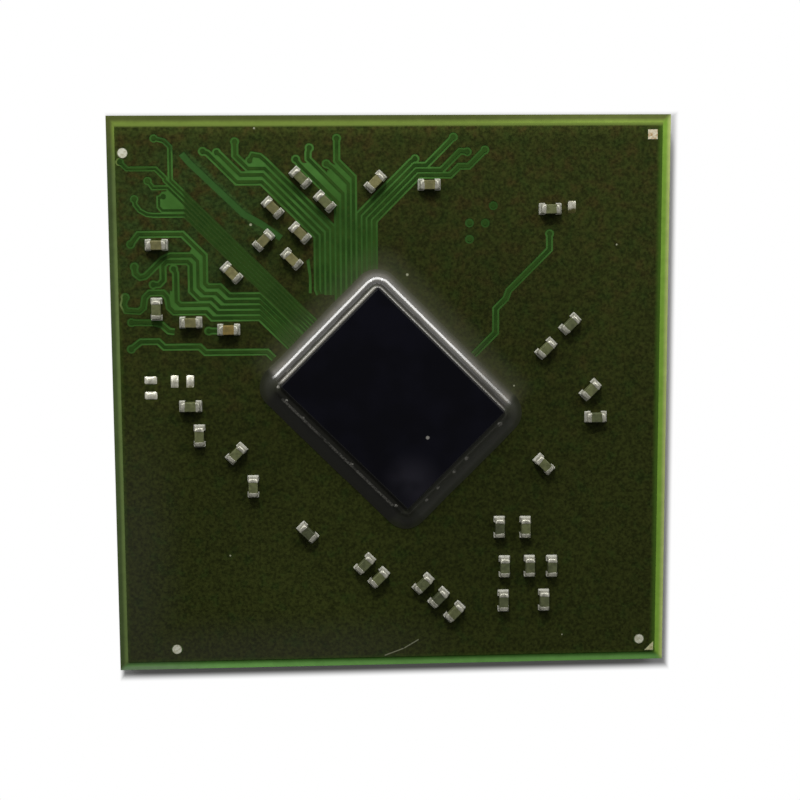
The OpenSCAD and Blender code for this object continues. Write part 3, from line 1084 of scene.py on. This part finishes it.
@dataclass(frozen=True)
class EpoxyFinish:
    """Grey underfill with a wet gloss, thin and dark where it runs out on the mask, with painted shade on its
    lower sides, its left, right and bottom corners and its upper slope, and painted highlights and glints on
    its top edge and lower sides.
    """

    grey: Colour = tint(104, 102, 95)
    warm: Colour = tint(112, 108, 98)
    warm_patches: Fade = (0.4, 0.64)
    toe: Colour = tint(72, 73, 56)
    toe_height: Fade = (0.015, 0.11)
    # Painted shade: the upper slope and flat top, nearer the die, are darker.
    hollow: Colour = tint(52, 50, 46)
    shaded_slope_height: Fade = (0.2, 0.32)
    # Painted highlight: a pale line along the top of the fillet on the upper-left and upper-right sides,
    # weaker on the upper right.
    lip: Colour = tint(150, 147, 136)
    lip_highlight_height: Fade = (0.5, 0.58)
    lip_highlight_out: Fade = (0.0, 0.09)
    lip_highlight_less_at_back: float = 0.45
    side: Fade = (-0.3, 0.1)
    # Painted shade: the lower-left and lower-right sides, the lower-right toe and the left, right and bottom
    # corners get darker colours than the lit grey of the upper sides.
    lower_left: Colour = tint(31, 31, 26)
    lower_right: Colour = tint(57, 58, 50)
    shaded_toe: Colour = tint(40, 42, 32)
    shaded_toe_height: Fade = (0.03, 0.12)
    shaded_corner: Colour = tint(46, 47, 37)
    shaded_corner_toe: Colour = tint(37, 39, 25)
    corner_turn: Fade = (-0.2, 0.2)
    shaded_corner_share: float = 0.9
    back_dim: Ramp = (-0.5, 3.5, 0.2)
    back_dry: Ramp = (-0.5, 3.5, 0.62)

    # Painted glints and a painted highlight: pale flecks along the fillet's lower sides and corners, and a
    # pale broken line along its lower-left side.
    chip: Colour = tint(150, 148, 140)
    glints: tuple[Spot, ...] = (
        (-5.95, 0.62, 0.11), (-5.55, -0.12, 0.12), (-4.7, -1.05, 0.12), (-2.2, -3.5, 0.13),
        (0.1, -5.75, 0.13), (5.6, -1.5, 0.17), (3.85, -3.3, 0.14), (3.2, -4.0, 0.13),
        (2.35, -4.85, 0.12), (1.75, -5.5, 0.12),
    )
    glint_soft: float = 0.5
    glint_grain: Fade = (0.44, 0.54)
    pale_edge: tuple[Place, Place] = ((-5.8, 0.0), (0.0, -5.8))
    highlight_line_half: float = 0.1
    highlight_line_grain: Ramp = (0.36, 0.56, 0.75)
    highlight_line_patches: Fade = (0.3, 0.54)

    mottle: Noise = (0.5, 3)
    fine: Noise = (0.07, 2)
    grain_spread: float = 0.28
    rough: Level = (0.45, 0.1)
    gloss: float = 0.25
    coat_rough: float = 0.08
    coat_index: float = 2.2
    relief: Relief = (0.06, 0.02)

    def make(self) -> bpy.types.Material:
        """Builds the material.

        Returns:
            The material.
        """
        made, shader = material("underfill_epoxy")
        along, across = SIZES.die_axes(shader)
        height = shader.axes[2] - SIZES.copper_top
        mottle = shader.noise(*self.mottle)
        fine = shader.noise(*self.fine)
        past_left = -along - SIZES.die_half_l
        past_right = along - SIZES.die_half_l
        past_front = -across - SIZES.die_half_w
        past_back = across - SIZES.die_half_w
        right = past_right.rise(*self.side)
        front = past_front.rise(*self.side)
        back = past_back.rise(*self.side)

        colour = shader.blend(mottle.rise(*self.warm_patches), self.grey, self.warm)
        colour = shader.blend(height.fall(*self.toe_height), colour, self.toe)
        # Painted shade on the upper slope.
        colour = shader.blend(height.rise(*self.shaded_slope_height), colour, self.hollow)
        # Painted highlight along the top of the upper sides.
        lip = height.rise(*self.lip_highlight_height) * past_left.larger(past_back).rise(*self.lip_highlight_out)
        colour = shader.blend(lip * (1 - self.lip_highlight_less_at_back * back), colour, self.lip)
        colour = shader.shade(colour, 1 - back * along.ramp(*self.back_dim))
        # Painted shade on the lower sides.
        colour = shader.blend(right, colour, self.lower_right)
        colour = shader.blend(right * height.fall(*self.shaded_toe_height), colour, self.shaded_toe)
        colour = shader.blend(front, colour, self.lower_left)

        # Painted shade on the corners, all but the top one.
        beyond = past_left.larger(past_right).smaller(past_front.larger(past_back))
        bright_corner = across.rise(*self.corner_turn) * along.fall(*self.corner_turn)
        corner = beyond.rise(*self.side) * (1 - bright_corner) * self.shaded_corner_share
        shaded_corner_colour = shader.blend(height.rise(*self.shaded_toe_height), self.shaded_corner_toe, self.shaded_corner)
        colour = shader.grained(shader.blend(corner, colour, shaded_corner_colour), fine, self.grain_spread)

        # Painted glints and a painted highlight line.
        glints = shader.spots(self.glints, self.glint_soft) * fine.rise(*self.glint_grain)
        paler = shader.streak(*self.pale_edge, self.highlight_line_half)
        paler = paler * fine.ramp(*self.highlight_line_grain) * mottle.rise(*self.highlight_line_patches)
        wet = (1 - front.larger(right)) * (1 - back * along.ramp(*self.back_dry))
        shader.surface({
            "Base Color": shader.blend(glints.larger(paler), colour, self.chip),
            "Roughness": mottle.about(*self.rough),
            "Specular IOR Level": self.gloss,
            "Coat Weight": wet,
            "Coat Roughness": self.coat_rough,
            "Coat IOR": self.coat_index,
            "Normal": shader.bump(mottle, *self.relief),
        })
        return made


@dataclass
class Shell:
    """Corners and faces of a mesh while it grows."""

    points: list[Point] = field(default_factory=list)
    faces: list[Face] = field(default_factory=list)
    picks: list[int] = field(default_factory=list)

    def ring(self, points: Sequence[Point]) -> list[int]:
        """Adds corners.

        Args:
            points: Their places.

        Returns:
            Their numbers.
        """
        first = len(self.points)
        self.points.extend(points)
        return list(range(first, len(self.points)))

    def face(self, corners: Sequence[int], pick: int = 0) -> None:
        """Adds a face with the number of its material."""
        self.faces.append(tuple(corners))
        self.picks.append(pick)

    def loft(self, rings: Sequence[Sequence[int]], picks: Sequence[int] | None = None) -> None:
        """Joins closed rings of corners, each to the next, and closes both ends.

        Args:
            rings: Rings with the same count of corners.
            picks: Number of the material between each ring and the next, or None for the first material.
        """
        picks = picks or [0] * (len(rings) - 1)
        for near, far, pick in zip(rings, rings[1:], picks):
            for i, corner in enumerate(near):
                j = (i + 1) % len(near)
                self.face((corner, near[j], far[j], far[i]), pick)
        self.face(rings[0][::-1], picks[0])
        self.face(rings[-1], picks[-1])

    def piece(self, name: str, replaced: str, slot: str, sharp: float,
              *materials: bpy.types.Material) -> bpy.types.Object:
        """Turns the shell into an object that rides on the part in the place of a solid.

        Args:
            name: The object's name.
            replaced: Name of the solid's node.
            slot: Not used.
            sharp: Angle past which an edge stays sharp.
            materials: The object's materials.

        Returns:
            The object.
        """
        mesh = bpy.data.meshes.new(name)
        mesh.from_pydata([tuple(c * MM for c in p) for p in self.points], [], self.faces)
        for each in materials:
            mesh.materials.append(each)
        mesh.polygons.foreach_set("material_index", self.picks)
        shape = bmesh.new()
        shape.from_mesh(mesh)
        bmesh.ops.remove_doubles(shape, verts=shape.verts, dist=SAME_PLACE * MM)
        bmesh.ops.recalc_face_normals(shape, faces=shape.faces)
        shape.to_mesh(mesh)
        shape.free()
        mesh.shade_smooth()
        mesh.set_sharp_from_angle(angle=math.radians(sharp))
        mesh.validate()
        made = bpy.data.objects.new(name, mesh)
        bpy.context.scene.collection.objects.link(made)
        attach(made, BODY)
        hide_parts(replaced)
        return made


@dataclass
class CarriedSolids:
    """The solids that keep their shape and get a material."""

    nodes: dict[str, bpy.types.Object]
    dots: tuple[Spot, ...] = ((-13.7, 12.62, 0.26), (-11.5, -13.42, 0.26), (13.23, -13.38, 0.26))

    def finishes(self) -> dict[str, bpy.types.Material]:
        """Makes the material of each solid.

        Returns:
            Materials by the names of the nodes.
        """
        gold = PlatedMarkFinish("gold_mark", tint(236, 227, 200), tint(196, 164, 116))
        pale_gold = PlatedMarkFinish("pale_gold_mark", tint(214, 212, 168), tint(186, 184, 132))
        cream = PlatedMarkFinish("cream_mark", tint(230, 231, 212), tint(202, 201, 174), self.dots)
        bump = BrightMetalFinish(
            "bump_alloy", tint(190, 190, 186), tint(150, 150, 148), metallic=0.8, rough=0.4, fine=(0.03, 2)
        )
        ball = BrightMetalFinish(
            "ball_alloy", tint(206, 206, 202), tint(168, 168, 164), metallic=0.85, rough=0.34, fine=(0.05, 2)
        )
        alloy = ball.make()
        return {
            "substrate": LaminateFinish().make(),
            "copper_pour": MaskedCopperFinish().make(),
            "signal_traces": MaskedTraceFinish().make(),
            "fiducial_dots": cream.make(),
            "corner_pad": gold.make(),
            "pin_one_mark": pale_gold.make(),
            "die": SiliconFinish().make(),
            "die_bumps": bump.make(),
            "corner_balls": alloy,
            "signal_balls": alloy,
        }

    def build(self) -> list[bpy.types.Object]:
        """Dresses each solid.

        Returns:
            The solids' objects.
        """
        dressed = []
        for name, finish in self.finishes().items():
            node = self.nodes[name]
            node.data.materials.clear()
            node.data.materials.append(finish)
            dressed.append(node)
        return dressed


class Slice(NamedTuple):
    """A section of a capacitor: its place, its size, its top, and whether the plating's edge moves it."""

    along: float
    inset: float
    drop: float = 0.0
    crown: float = 0.0
    wavy: bool = False


@dataclass
class Capacitor:
    """A chip capacitor: ceramic between two plated ends."""

    number: int
    node: bpy.types.Object
    length: float = 1.04
    width: float = 0.52
    height: float = 0.5
    plated: float = 0.24
    step: float = 0.022
    waist: float = 0.001
    straight_end: float = 0.03
    edge_foot: float = 0.004
    edge_top: float = 0.012
    edge_inset: float = 0.004
    edge_crowns: tuple[float, float] = (0.01, 0.02)
    edge_waves: tuple[Place, ...] = ((2, 0.011), (3, 0.007))  # count and size
    corner: float = 0.04
    corner_steps: int = 6
    top_steps: int = 6
    end_corner: float = 0.09
    end_shares: tuple[float, ...] = (0.0, 0.25, 0.45, 0.62, 0.76, 0.87, 0.95, 1.0)
    end_inset: float = 0.025
    end_inset_power: int = 6
    round_l: float = 0.2
    round_h: float = 0.15
    crown: float = 0.09
    first_crown: float = 0.4
    sharp: float = 50

    def __post_init__(self) -> None:
        """Finds the capacitor's place and turn from its solid."""
        low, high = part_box(self.node.name)
        self.middle = (low + high) / 2 / MM
        corners = [v.co / MM - self.middle for v in self.node.data.vertices]
        spread = sum(c.x * c.x - c.y * c.y for c in corners)
        skew = sum(2 * c.x * c.y for c in corners)
        self.turn = math.atan2(skew, spread) / 2
        self.edge = self.length / 2 - self.plated
        self.chance = random.Random(self.number)

    def world(self, along: float, across: float, up: float) -> Point:
        """Moves a point from the capacitor's own axes to the part's."""
        x, y = turned(along, across, self.turn)
        return (self.middle.x + x, self.middle.y + y, self.middle.z + up)

    def outline(self, at: Slice) -> list[Place]:
        """Rounded outline across the capacitor.

        Args:
            at: The section.

        Returns:
            Places across and up.
        """
        radius = self.corner if abs(at.along) < self.edge else self.end_corner
        half_w = self.width / 2 - at.inset
        half_h = self.height / 2 - at.inset
        arcs: list[list[Place]] = []
        for quarter, (side, rise) in enumerate(((1, 1), (-1, 1), (-1, -1), (1, -1))):
            arc = []
            for k in range(self.corner_steps + 1):
                angle = QUARTER * (quarter + k / self.corner_steps)
                across = side * (half_w - radius) + radius * math.cos(angle)
                arc.append((across, rise * (half_h - radius) + radius * math.sin(angle)))
            arcs.append(arc)
        flat = half_w - radius
        top = [(flat * (1 - 2 * k / self.top_steps), half_h) for k in range(1, self.top_steps)]
        upper = [(a, u - at.drop - at.crown * (a / half_w) ** 2) for a, u in arcs[0] + top + arcs[1]]
        return upper + arcs[2] + arcs[3]

    def slices(self) -> list[Slice]:
        """Sections along half of the capacitor, from its middle.

        Returns:
            The sections, with the wavy edge of the plating among them.
        """
        edge, step = self.edge, self.step
        found = [
            Slice(0.0, step),
            Slice(edge / 2, step + self.waist),
            Slice(edge - self.straight_end, step),
            Slice(edge - self.edge_foot, step, wavy=True),
            Slice(edge, step / 2, crown=self.edge_crowns[0], wavy=True),
            Slice(edge + self.edge_top, self.edge_inset, crown=self.edge_crowns[1], wavy=True),
        ]
        for share in self.end_shares:
            along = self.length / 2 - self.round_l * (1 - share)
            inset = self.end_inset * share ** self.end_inset_power
            drop = self.round_h * (1 - math.sqrt(1 - share * share))
            found.append(Slice(along, inset, drop, self.crown * min(1.0, self.first_crown + share)))
        return found

    def ring(self, at: Slice, phases: Sequence[float]) -> list[Point]:
        """Corners of one section.

        Args:
            at: The section.
            phases: Phases of the waves in the plating's edge.

        Returns:
            Points in the part's axes.
        """
        corners = []
        for across, up in self.outline(at):
            shift = 0.0
            if at.wavy:
                angle = math.atan2(up, across)
                for (count, size), phase in zip(self.edge_waves, phases):
                    shift += size * math.sin(count * angle + phase)
            corners.append(self.world(at.along + shift, across, up))
        return corners

    def build(self, ceramic: bpy.types.Material, tin: bpy.types.Material) -> bpy.types.Object:
        """Lofts the capacitor.

        Args:
            ceramic: Material of its body.
            tin: Material of its plated ends.

        Returns:
            The object.
        """
        half = self.slices()
        line = [each._replace(along=-each.along) for each in reversed(half[1:])] + half
        left, right = ([self.chance.uniform(0, math.tau) for _ in self.edge_waves] for _ in range(2))
        shell = Shell()
        rings = [shell.ring(self.ring(each, right if each.along > 0 else left)) for each in line]
        middles = [abs(near.along + far.along) / 2 for near, far in zip(line, line[1:])]
        shell.loft(rings, [int(middle > self.edge - self.edge_foot) for middle in middles])
        return shell.piece("chip_" + self.node.name, self.node.name, "capacitor", self.sharp, ceramic, tin)


class Stop(NamedTuple):
    """A place on a path, the outward direction there, and its share of the way from a side to the end."""

    along: float
    across: float
    ahead: float
    aside: float
    share: float = 0.0


@dataclass
class CapacitorSolder:
    """Hollow solder fillets round the plated ends."""

    capacitors: list[Capacitor]
    finish: BrightMetalFinish = BrightMetalFinish(
        "joint_solder", tint(222, 221, 208), tint(198, 197, 183), metallic=0.34, rough=0.32
    )
    height: float = 0.3
    height_range: tuple[float, float] = (0.86, 1.0)
    seat: float = 0.03
    end_reach: float = 0.07
    side_reach: float = 0.04
    side_share: float = 0.5
    pad_share: float = 0.94
    rim: float = 0.05
    lip: float = 0.02
    hollow: float = 2.2
    levels: int = 7
    corner_steps: int = 6
    side_steps: int = 4
    sharp: float = 45

    def path(self, cap: Capacitor) -> list[Stop]:
        """Runs round three sides of a plated end.

        Args:
            cap: The capacitor.

        Returns:
            The stops, with a share of 0 at the sides and 1 at the end.
        """
        half_w = cap.width / 2
        end = cap.length / 2
        flat_w = half_w - cap.corner
        flat_l = end - cap.corner
        side: list[Stop] = []
        for k in range(self.side_steps + 1):
            side.append(Stop(cap.edge + (flat_l - cap.edge) * k / self.side_steps, half_w, 0.0, 1.0))
        for k in range(1, self.corner_steps):
            share = k / self.corner_steps
            ahead, aside = math.sin(QUARTER * share), math.cos(QUARTER * share)
            side.append(Stop(flat_l + cap.corner * ahead, flat_w + cap.corner * aside, ahead, aside, share))
        other = [each._replace(across=-each.across, aside=-each.aside) for each in side]
        places = [flat_w * (2 * k / self.side_steps - 1) for k in range(self.side_steps + 1)]
        return other + [Stop(end, place, 1.0, 0.0, 1.0) for place in places] + side[::-1]

    def reach(self, corner: float, ahead: float, aside: float) -> float:
        """Distance from the plated end's rounded corner to the edge of its pad.

        Args:
            corner: Radius of the corner.
            ahead: Share of the direction that points past the end.
            aside: Share that points past the side.

        Returns:
            The distance, a little less at the pad's own corner.
        """
        exits = []
        for share, room in ((ahead, self.end_reach), (aside, self.side_reach)):
            if share > TINY:
                exits.append((room + corner) / share)
        rounded = self.pad_share if min(ahead, aside) > TINY else 1.0
        return min(exits) * rounded - corner

    def profile(self, reach: float, height: float) -> list[Place]:
        """Section of the fillet: out from the plated end and up from the pad.

        Args:
            reach: Reach of the pad.
            height: Height of the solder on the plated end.

        Returns:
            Places on a closed outline.
        """
        outline = [(0.0, 0.0), (reach, 0.0)]
        for k in range(self.levels + 1):
            share = k / self.levels
            out = self.lip + (reach - self.lip) * (1 - share) ** self.hollow
            outline.append((out, self.rim + (height - self.rim) * share))
        outline.append((0.0, height))
        return outline

    def joint(self, cap: Capacitor, side: int, shell: Shell) -> None:
        """Adds the fillet of one end.

        Args:
            cap: The capacitor.
            side: 1 or -1, the end.
            shell: The mesh so far.
        """
        height = self.height * cap.chance.uniform(*self.height_range)
        base = -cap.height / 2 - self.seat
        rings = []
        for at in self.path(cap):
            reach = self.reach(cap.corner, at.ahead, abs(at.aside))
            rise = height * (self.side_share + (1 - self.side_share) * at.share)
            ring = []
            for out, up in self.profile(reach, rise):
                along = at.along + at.ahead * out
                across = at.across + at.aside * out
                ring.append(cap.world(side * along, side * across, base + up))
            rings.append(shell.ring(ring))
        shell.loft(rings)

    def build(self) -> bpy.types.Object:
        """Makes all joints as one piece.

        Returns:
            The object.
        """
        shell = Shell()
        for cap in self.capacitors:
            for side in (-1, 1):
                self.joint(cap, side, shell)
        return shell.piece("solder_joints", "capacitor_solder", "solder", self.sharp, self.finish.make())


@dataclass
class Capacitors:
    """All chip capacitors and the solder that holds them."""

    nodes: dict[str, bpy.types.Object]
    plating: BrightMetalFinish = BrightMetalFinish(
        "plated_tin", tint(194, 192, 176), tint(164, 163, 146), metallic=0.5, rough=0.28
    )
    common: Ceramic = Ceramic.OLIVE
    others: dict[Ceramic, tuple[int, ...]] = field(default_factory=lambda: {
        Ceramic.STONE: (3, 4, 5, 9, 10, 12),
        Ceramic.PALE_OLIVE: (6, 7, 8),
        Ceramic.AMBER: (13,),
        Ceramic.DEEP_OLIVE: (19, 21, 25, 28, 32, 33, 34, 35, 36),
        Ceramic.DARK_OLIVE: (18, 22, 30),
    })

    def build(self) -> list[bpy.types.Object]:
        """Builds the capacitors, then their solder.

        Returns:
            The objects.
        """
        tin = self.plating.make()
        finishes = {each: CeramicFinish(each).make() for each in Ceramic}
        tones = {number: each for each, numbers in self.others.items() for number in numbers}
        names = sorted(n for n in self.nodes if n.startswith("capacitor_") and n != "capacitor_solder")
        capacitors = [Capacitor(number, self.nodes[name]) for number, name in enumerate(names, 1)]
        built = [cap.build(finishes[tones.get(cap.number, self.common)], tin) for cap in capacitors]
        return built + [CapacitorSolder(capacitors).build()]


@dataclass
class BarePads:
    """Domed solder on the pads that hold no capacitor."""

    sites: tuple[Point, ...] = ((-12.54, 0.56, 90), (-10.91, 0.88, 0))  # X, Y and turn
    lone: Point = (9.38, 9.75, 0)
    offset: float = 0.4
    length: float = 0.4
    width: float = 0.64
    height: float = 0.05
    end_round: float = 0.06
    side_round: float = 0.04
    corner_power: int = 8
    dome_power: float = 2.2
    steps: int = 12
    sharp: float = 60
    finish: BrightMetalFinish = BrightMetalFinish(
        "pad_solder", tint(242, 240, 222), tint(218, 216, 192), metallic=0.62, rough=0.34,
        # The lone pad's spots are a painted reflection, darker on its lower half and top edge.
        painted_reflections=((9.46, 9.46, 0.34), (9.28, 9.42, 0.3), (9.38, 10.3, 0.36)),
        swells=((-12.54, 0.94, 0.36), (-12.54, 0.14, 0.36), (-11.31, 0.84, 0.4), (-10.51, 0.84, 0.4)),
    )

    def dome(self, x: float, y: float, angle: float, shell: Shell) -> None:
        """Adds one domed pad, closed below.

        Args:
            x: Its middle along X.
            y: Its middle along Y.
            angle: Turn of its short side from the X axis, in radians.
            shell: The mesh so far.
        """
        last = self.steps
        grid = []
        for i in range(last + 1):
            row = []
            for j in range(last + 1):
                u, v = 2 * i / last - 1, 2 * j / last - 1
                along = u * self.length / 2 * (1 - self.end_round * v ** self.corner_power)
                across = v * self.width / 2 * (1 - self.side_round * u ** self.corner_power)
                rise = (1 - abs(u) ** self.dome_power) * (1 - abs(v) ** self.dome_power)
                ahead, aside = turned(along, across, angle)
                row.append((x + ahead, y + aside, SIZES.copper_top + self.height * math.sqrt(rise)))
            grid.append(shell.ring(row))
        for near, far in zip(grid, grid[1:]):
            for j in range(last):
                shell.face((near[j], far[j], far[j + 1], near[j + 1]))
        steps = range(1, last + 1)
        rim = [grid[0][k] for k in steps] + [grid[k][last] for k in steps]
        rim += [grid[last][last - k] for k in steps] + [grid[last - k][0] for k in steps]
        shell.face(rim)

    def build(self) -> list[bpy.types.Object]:
        """Makes all bare pads as one piece.

        Returns:
            The object, in a list.
        """
        shell = Shell()
        for x, y, turn in self.sites:
            angle = math.radians(turn)
            for side in (-1, 1):
                ahead, aside = turned(side * self.offset, 0, angle)
                self.dome(x + ahead, y + aside, angle, shell)
        x, y, turn = self.lone
        self.dome(x, y, math.radians(turn), shell)
        return [shell.piece("pad_domes", "bare_pads", "solder", self.sharp, self.finish.make())]


@dataclass
class Underfill:
    """The fillet round the die, in the die's own axes."""

    upper_left: float = 1.04
    upper_right: float = 0.98
    lower_right: float = 1.16
    lower_left: float = 1.24
    flat: float = 0.34
    height: float = 0.62
    sag: float = 0.13
    toe_t: float = 0.02
    soft_edge: float = 0.042
    slope_steps: int = 44
    corner_steps: int = 18
    side_steps: int = 40
    sway: float = 0.03
    waves: tuple[Point, ...] = ((7, 1, 0.6), (17, 2, 0.4))  # count, phase and weight
    sharp: float = 40
    finish: EpoxyFinish = EpoxyFinish()

    def __post_init__(self) -> None:
        """Works out the ring that the section sweeps and the arc of its slope."""
        self.span = max(self.upper_left, self.upper_right, self.lower_right, self.lower_left)
        self.left = self.span - self.upper_left - SIZES.die_half_l
        self.right = SIZES.die_half_l + self.lower_right - self.span
        self.back = SIZES.die_half_w + self.upper_right - self.span
        self.front = self.span - self.lower_left - SIZES.die_half_w
        top = Vector((self.flat, self.height))
        toe = Vector((self.span, self.toe_t))
        chord = (toe - top).length
        self.radius = chord * chord / (8 * self.sag) + self.sag / 2
        away = Vector((top.y - toe.y, toe.x - top.x)) / chord
        self.centre = (top + toe) / 2 + away * (self.radius - self.sag)

    def level(self, out: float) -> float:
        """Height of the flat top and the slope, with a soft edge between them.

        Args:
            out: Distance out from the ring.

        Returns:
            Height above the copper.
        """
        room = self.radius ** 2 - (self.centre.x - out) ** 2
        if out < self.centre.x and room <= 0:
            return self.height
        slope = self.centre.y - math.sqrt(room)
        lower = min(slope, self.height)
        return lower - self.soft_edge * math.log1p(math.exp(-abs(slope - self.height) / self.soft_edge))

    def stops(self) -> list[Stop]:
        """Runs round the ring.

        Returns:
            Its stops in order.
        """
        corners = (
            (self.right, self.back), (self.left, self.back), (self.left, self.front), (self.right, self.front)
        )
        found = []
        for quarter, (along, across) in enumerate(corners):
            for k in range(self.corner_steps + 1):
                angle = QUARTER * (quarter + k / self.corner_steps)
                found.append(Stop(along, across, math.cos(angle), math.sin(angle)))
            to_along, to_across = corners[(quarter + 1) % len(corners)]
            for k in range(1, self.side_steps):
                share = k / self.side_steps
                run = along + (to_along - along) * share
                found.append(found[-1]._replace(along=run, across=across + (to_across - across) * share))
        return found

    def start(self, at: Stop) -> float:
        """Finds the die's side.

        Args:
            at: A stop on the ring.

        Returns:
            Distance from the ring to the side, in the stop's direction.
        """
        exits = []
        for place, out, half in (
            (at.along, at.ahead, SIZES.die_half_l), (at.across, at.aside, SIZES.die_half_w)
        ):
            if abs(out) > TINY:
                exits.append((math.copysign(half, out) - place) / out)
        return max(0.0, min(exits))

    def world(self, along: float, across: float, up: float) -> Point:
        """Moves a point from the die's axes to the part's."""
        x, y = turned(along, across, SIZES.die_turn)
        return (x, y + SIZES.die_middle_y, SIZES.copper_top + up)

    def section(self, at: Stop, phase: float) -> list[Point]:
        """Outline of the fillet at one stop, from the die's foot over the slope to the toe.

        Args:
            at: The stop.
            phase: How far round the ring it lies, in radians.

        Returns:
            Points in the part's axes.
        """
        begin = self.start(at)
        wave = sum(weight * math.sin(count * phase + shift) for count, shift, weight in self.waves)
        reach = self.span - self.sway * (1 + wave) / 2
        outline = [(begin, SIZES.bump_h)]
        for k in range(self.slope_steps + 1):
            share = k / self.slope_steps
            level = self.level(begin + (self.span - begin) * share)
            outline.append((begin + (reach - begin) * share, max(level, self.toe_t)))
        outline.append((reach, 0.0))
        return [self.world(at.along + at.ahead * o, at.across + at.aside * o, up) for o, up in outline]

    def build(self) -> list[bpy.types.Object]:
        """Sweeps the section round the die.

        Returns:
            The object, in a list.
        """
        shell = Shell()
        stops = self.stops()
        columns = []
        for number, at in enumerate(stops):
            columns.append(shell.ring(self.section(at, math.tau * number / len(stops))))
        shell.loft(list(zip(*columns)))
        return [shell.piece("underfill_fillet", "underfill", "underfill", self.sharp, self.finish.make())]


@dataclass(frozen=True)
class Lamp:
    """An area lamp that looks at the middle of the part, by default a strip."""

    name: str
    azimuth: float
    elevation: float
    distance: float = 110
    size: tuple[float, float] = (90, 22)
    power: float = 0.028
    mirrored: bool = True

    def build(self) -> bpy.types.Object:
        """Makes the lamp.

        Returns:
            The object.
        """
        data = bpy.data.lights.new(self.name, "AREA")
        data.shape = "RECTANGLE"
        data.size = self.size[0] * MM
        data.size_y = self.size[1] * MM
        data.energy = self.power
        made = bpy.data.objects.new(self.name, data)
        level = math.radians(self.elevation)
        x, y = turned(math.cos(level), 0, math.radians(self.azimuth))
        made.location = Vector((x, y, math.sin(level))) * self.distance * MM
        made.rotation_euler = made.location.to_track_quat("Z", "Y").to_euler()
        made.visible_glossy = self.mirrored
        bpy.context.scene.collection.objects.link(made)
        return made


@dataclass
class Studio:
    """Camera, floor, lamps and surroundings."""

    camera_place: Point = (-4.931, 11.798, 89.64)
    camera_turn: Point = (-7.7517, -3.4962, -0.2569)
    sensor: float = 36.0
    lens: float = 76.5
    clip: tuple[float, float] = (2.0, 50000.0)
    floor_half: float = 2000.0
    floor_tone: Colour = tint(200, 200, 200)
    shadow_right: Fade = (0.42, 0.8)
    shadow_front: Fade = (0.63, 1.15)
    shadow_lit: Fade = (-0.1, 0.25)
    zenith: float = 0.05
    sky: Ramp = (0.95, 0.45, 0.25)
    horizon: Ramp = (0.28, 0.08, 0.1)
    lamps: tuple[Lamp, ...] = (
        Lamp("key_lamp", 97, 36, distance=130, size=(24, 24), power=0.1015, mirrored=False),
        Lamp("left_strip", 135, 27.5),
        Lamp("back_strip", 90, 29),
        Lamp("right_strip", 45, 29.5),
    )

    def camera(self) -> bpy.types.Object:
        """Sets the camera at the photograph's angle.

        Returns:
            The camera.
        """
        data = bpy.data.cameras.new("photo_camera")
        data.sensor_width = self.sensor
        data.lens = self.lens
        data.clip_start, data.clip_end = (distance * MM for distance in self.clip)
        made = bpy.data.objects.new("photo_camera", data)
        made.location = Vector(self.camera_place) * MM
        made.rotation_euler = Euler([math.radians(a) for a in self.camera_turn], "XYZ")
        bpy.context.scene.collection.objects.link(made)
        bpy.context.scene.camera = made
        return made

    def floor_finish(self) -> bpy.types.Material:
        """White floor that keeps the part's shadow on the two sides away from the lamps.

        Returns:
            The material.
        """
        made, shader = material("floor_white")
        x, y, _ = shader.axes
        right = (x - SIZES.half).rise(*self.shadow_right)
        front = (-y - SIZES.half).rise(*self.shadow_front)
        lit = ((-x).larger(y) - SIZES.half).rise(*self.shadow_lit)
        clear = right.larger(front).larger(lit)
        rays = shader.node("ShaderNodeLightPath", {}, {}).outputs
        seen = Wire(shader, rays["Is Camera Ray"])
        for name in ("Is Glossy Ray", "Is Transmission Ray"):
            seen = seen.larger(rays[name])
        glow = shader.node("ShaderNodeEmission", {}, {"Color": WHITE, "Strength": 1.0})
        matt = shader.node("ShaderNodeBsdfDiffuse", {}, {"Color": self.floor_tone})
        sockets = {0: seen * clear, 1: matt.outputs[0], 2: glow.outputs[0]}
        mixed = shader.node("ShaderNodeMixShader", {}, sockets)
        shader.node("ShaderNodeOutputMaterial", {}, {"Surface": mixed.outputs[0]})
        return made

    def floor(self) -> bpy.types.Object:
        """Lays the floor.

        Returns:
            The floor.
        """
        half = self.floor_half * MM
        corners = [(-half, -half, 0), (half, -half, 0), (half, half, 0), (-half, half, 0)]
        mesh = bpy.data.meshes.new("studio_floor")
        mesh.from_pydata(corners, [], [(0, 1, 2, 3)])
        mesh.materials.append(self.floor_finish())
        plane = bpy.data.objects.new("studio_floor", mesh)
        bpy.context.scene.collection.objects.link(plane)
        return plane

    def surroundings(self) -> None:
        """Makes a world that is pale at the horizon and dark overhead."""
        world = bpy.data.worlds.new("studio_world")
        world.use_nodes = True
        bpy.context.scene.world = world
        shader = Shader(world.node_tree)
        _, _, up = shader.split(shader.wire("ShaderNodeTexCoord", {}, {}, "Generated"))
        level = self.zenith + up.ramp(*self.sky) + up.ramp(*self.horizon)
        glow = shader.node("ShaderNodeBackground", {}, {"Color": WHITE, "Strength": level})
        shader.node("ShaderNodeOutputWorld", {}, {"Surface": glow.outputs[0]})

    def build(self) -> list[bpy.types.Object]:
        """Builds the studio.

        Returns:
            The camera, the floor and the lamps.
        """
        bpy.context.scene.view_settings.view_transform = "Standard"
        self.surroundings()
        return [self.camera(), self.floor()] + [lamp.build() for lamp in self.lamps]


def main() -> None:
    """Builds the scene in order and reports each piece."""
    logging.basicConfig(level=logging.INFO, format="%(name)s: %(message)s")
    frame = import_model()
    nodes = frame["nodes"]
    for assembly in (Studio(), CarriedSolids(nodes), Capacitors(nodes), BarePads(), Underfill()):
        for made in assembly.build():
            log.info("%s: %s is ready", type(assembly).__name__, made.name)


if __name__ == "__main__":
    main()
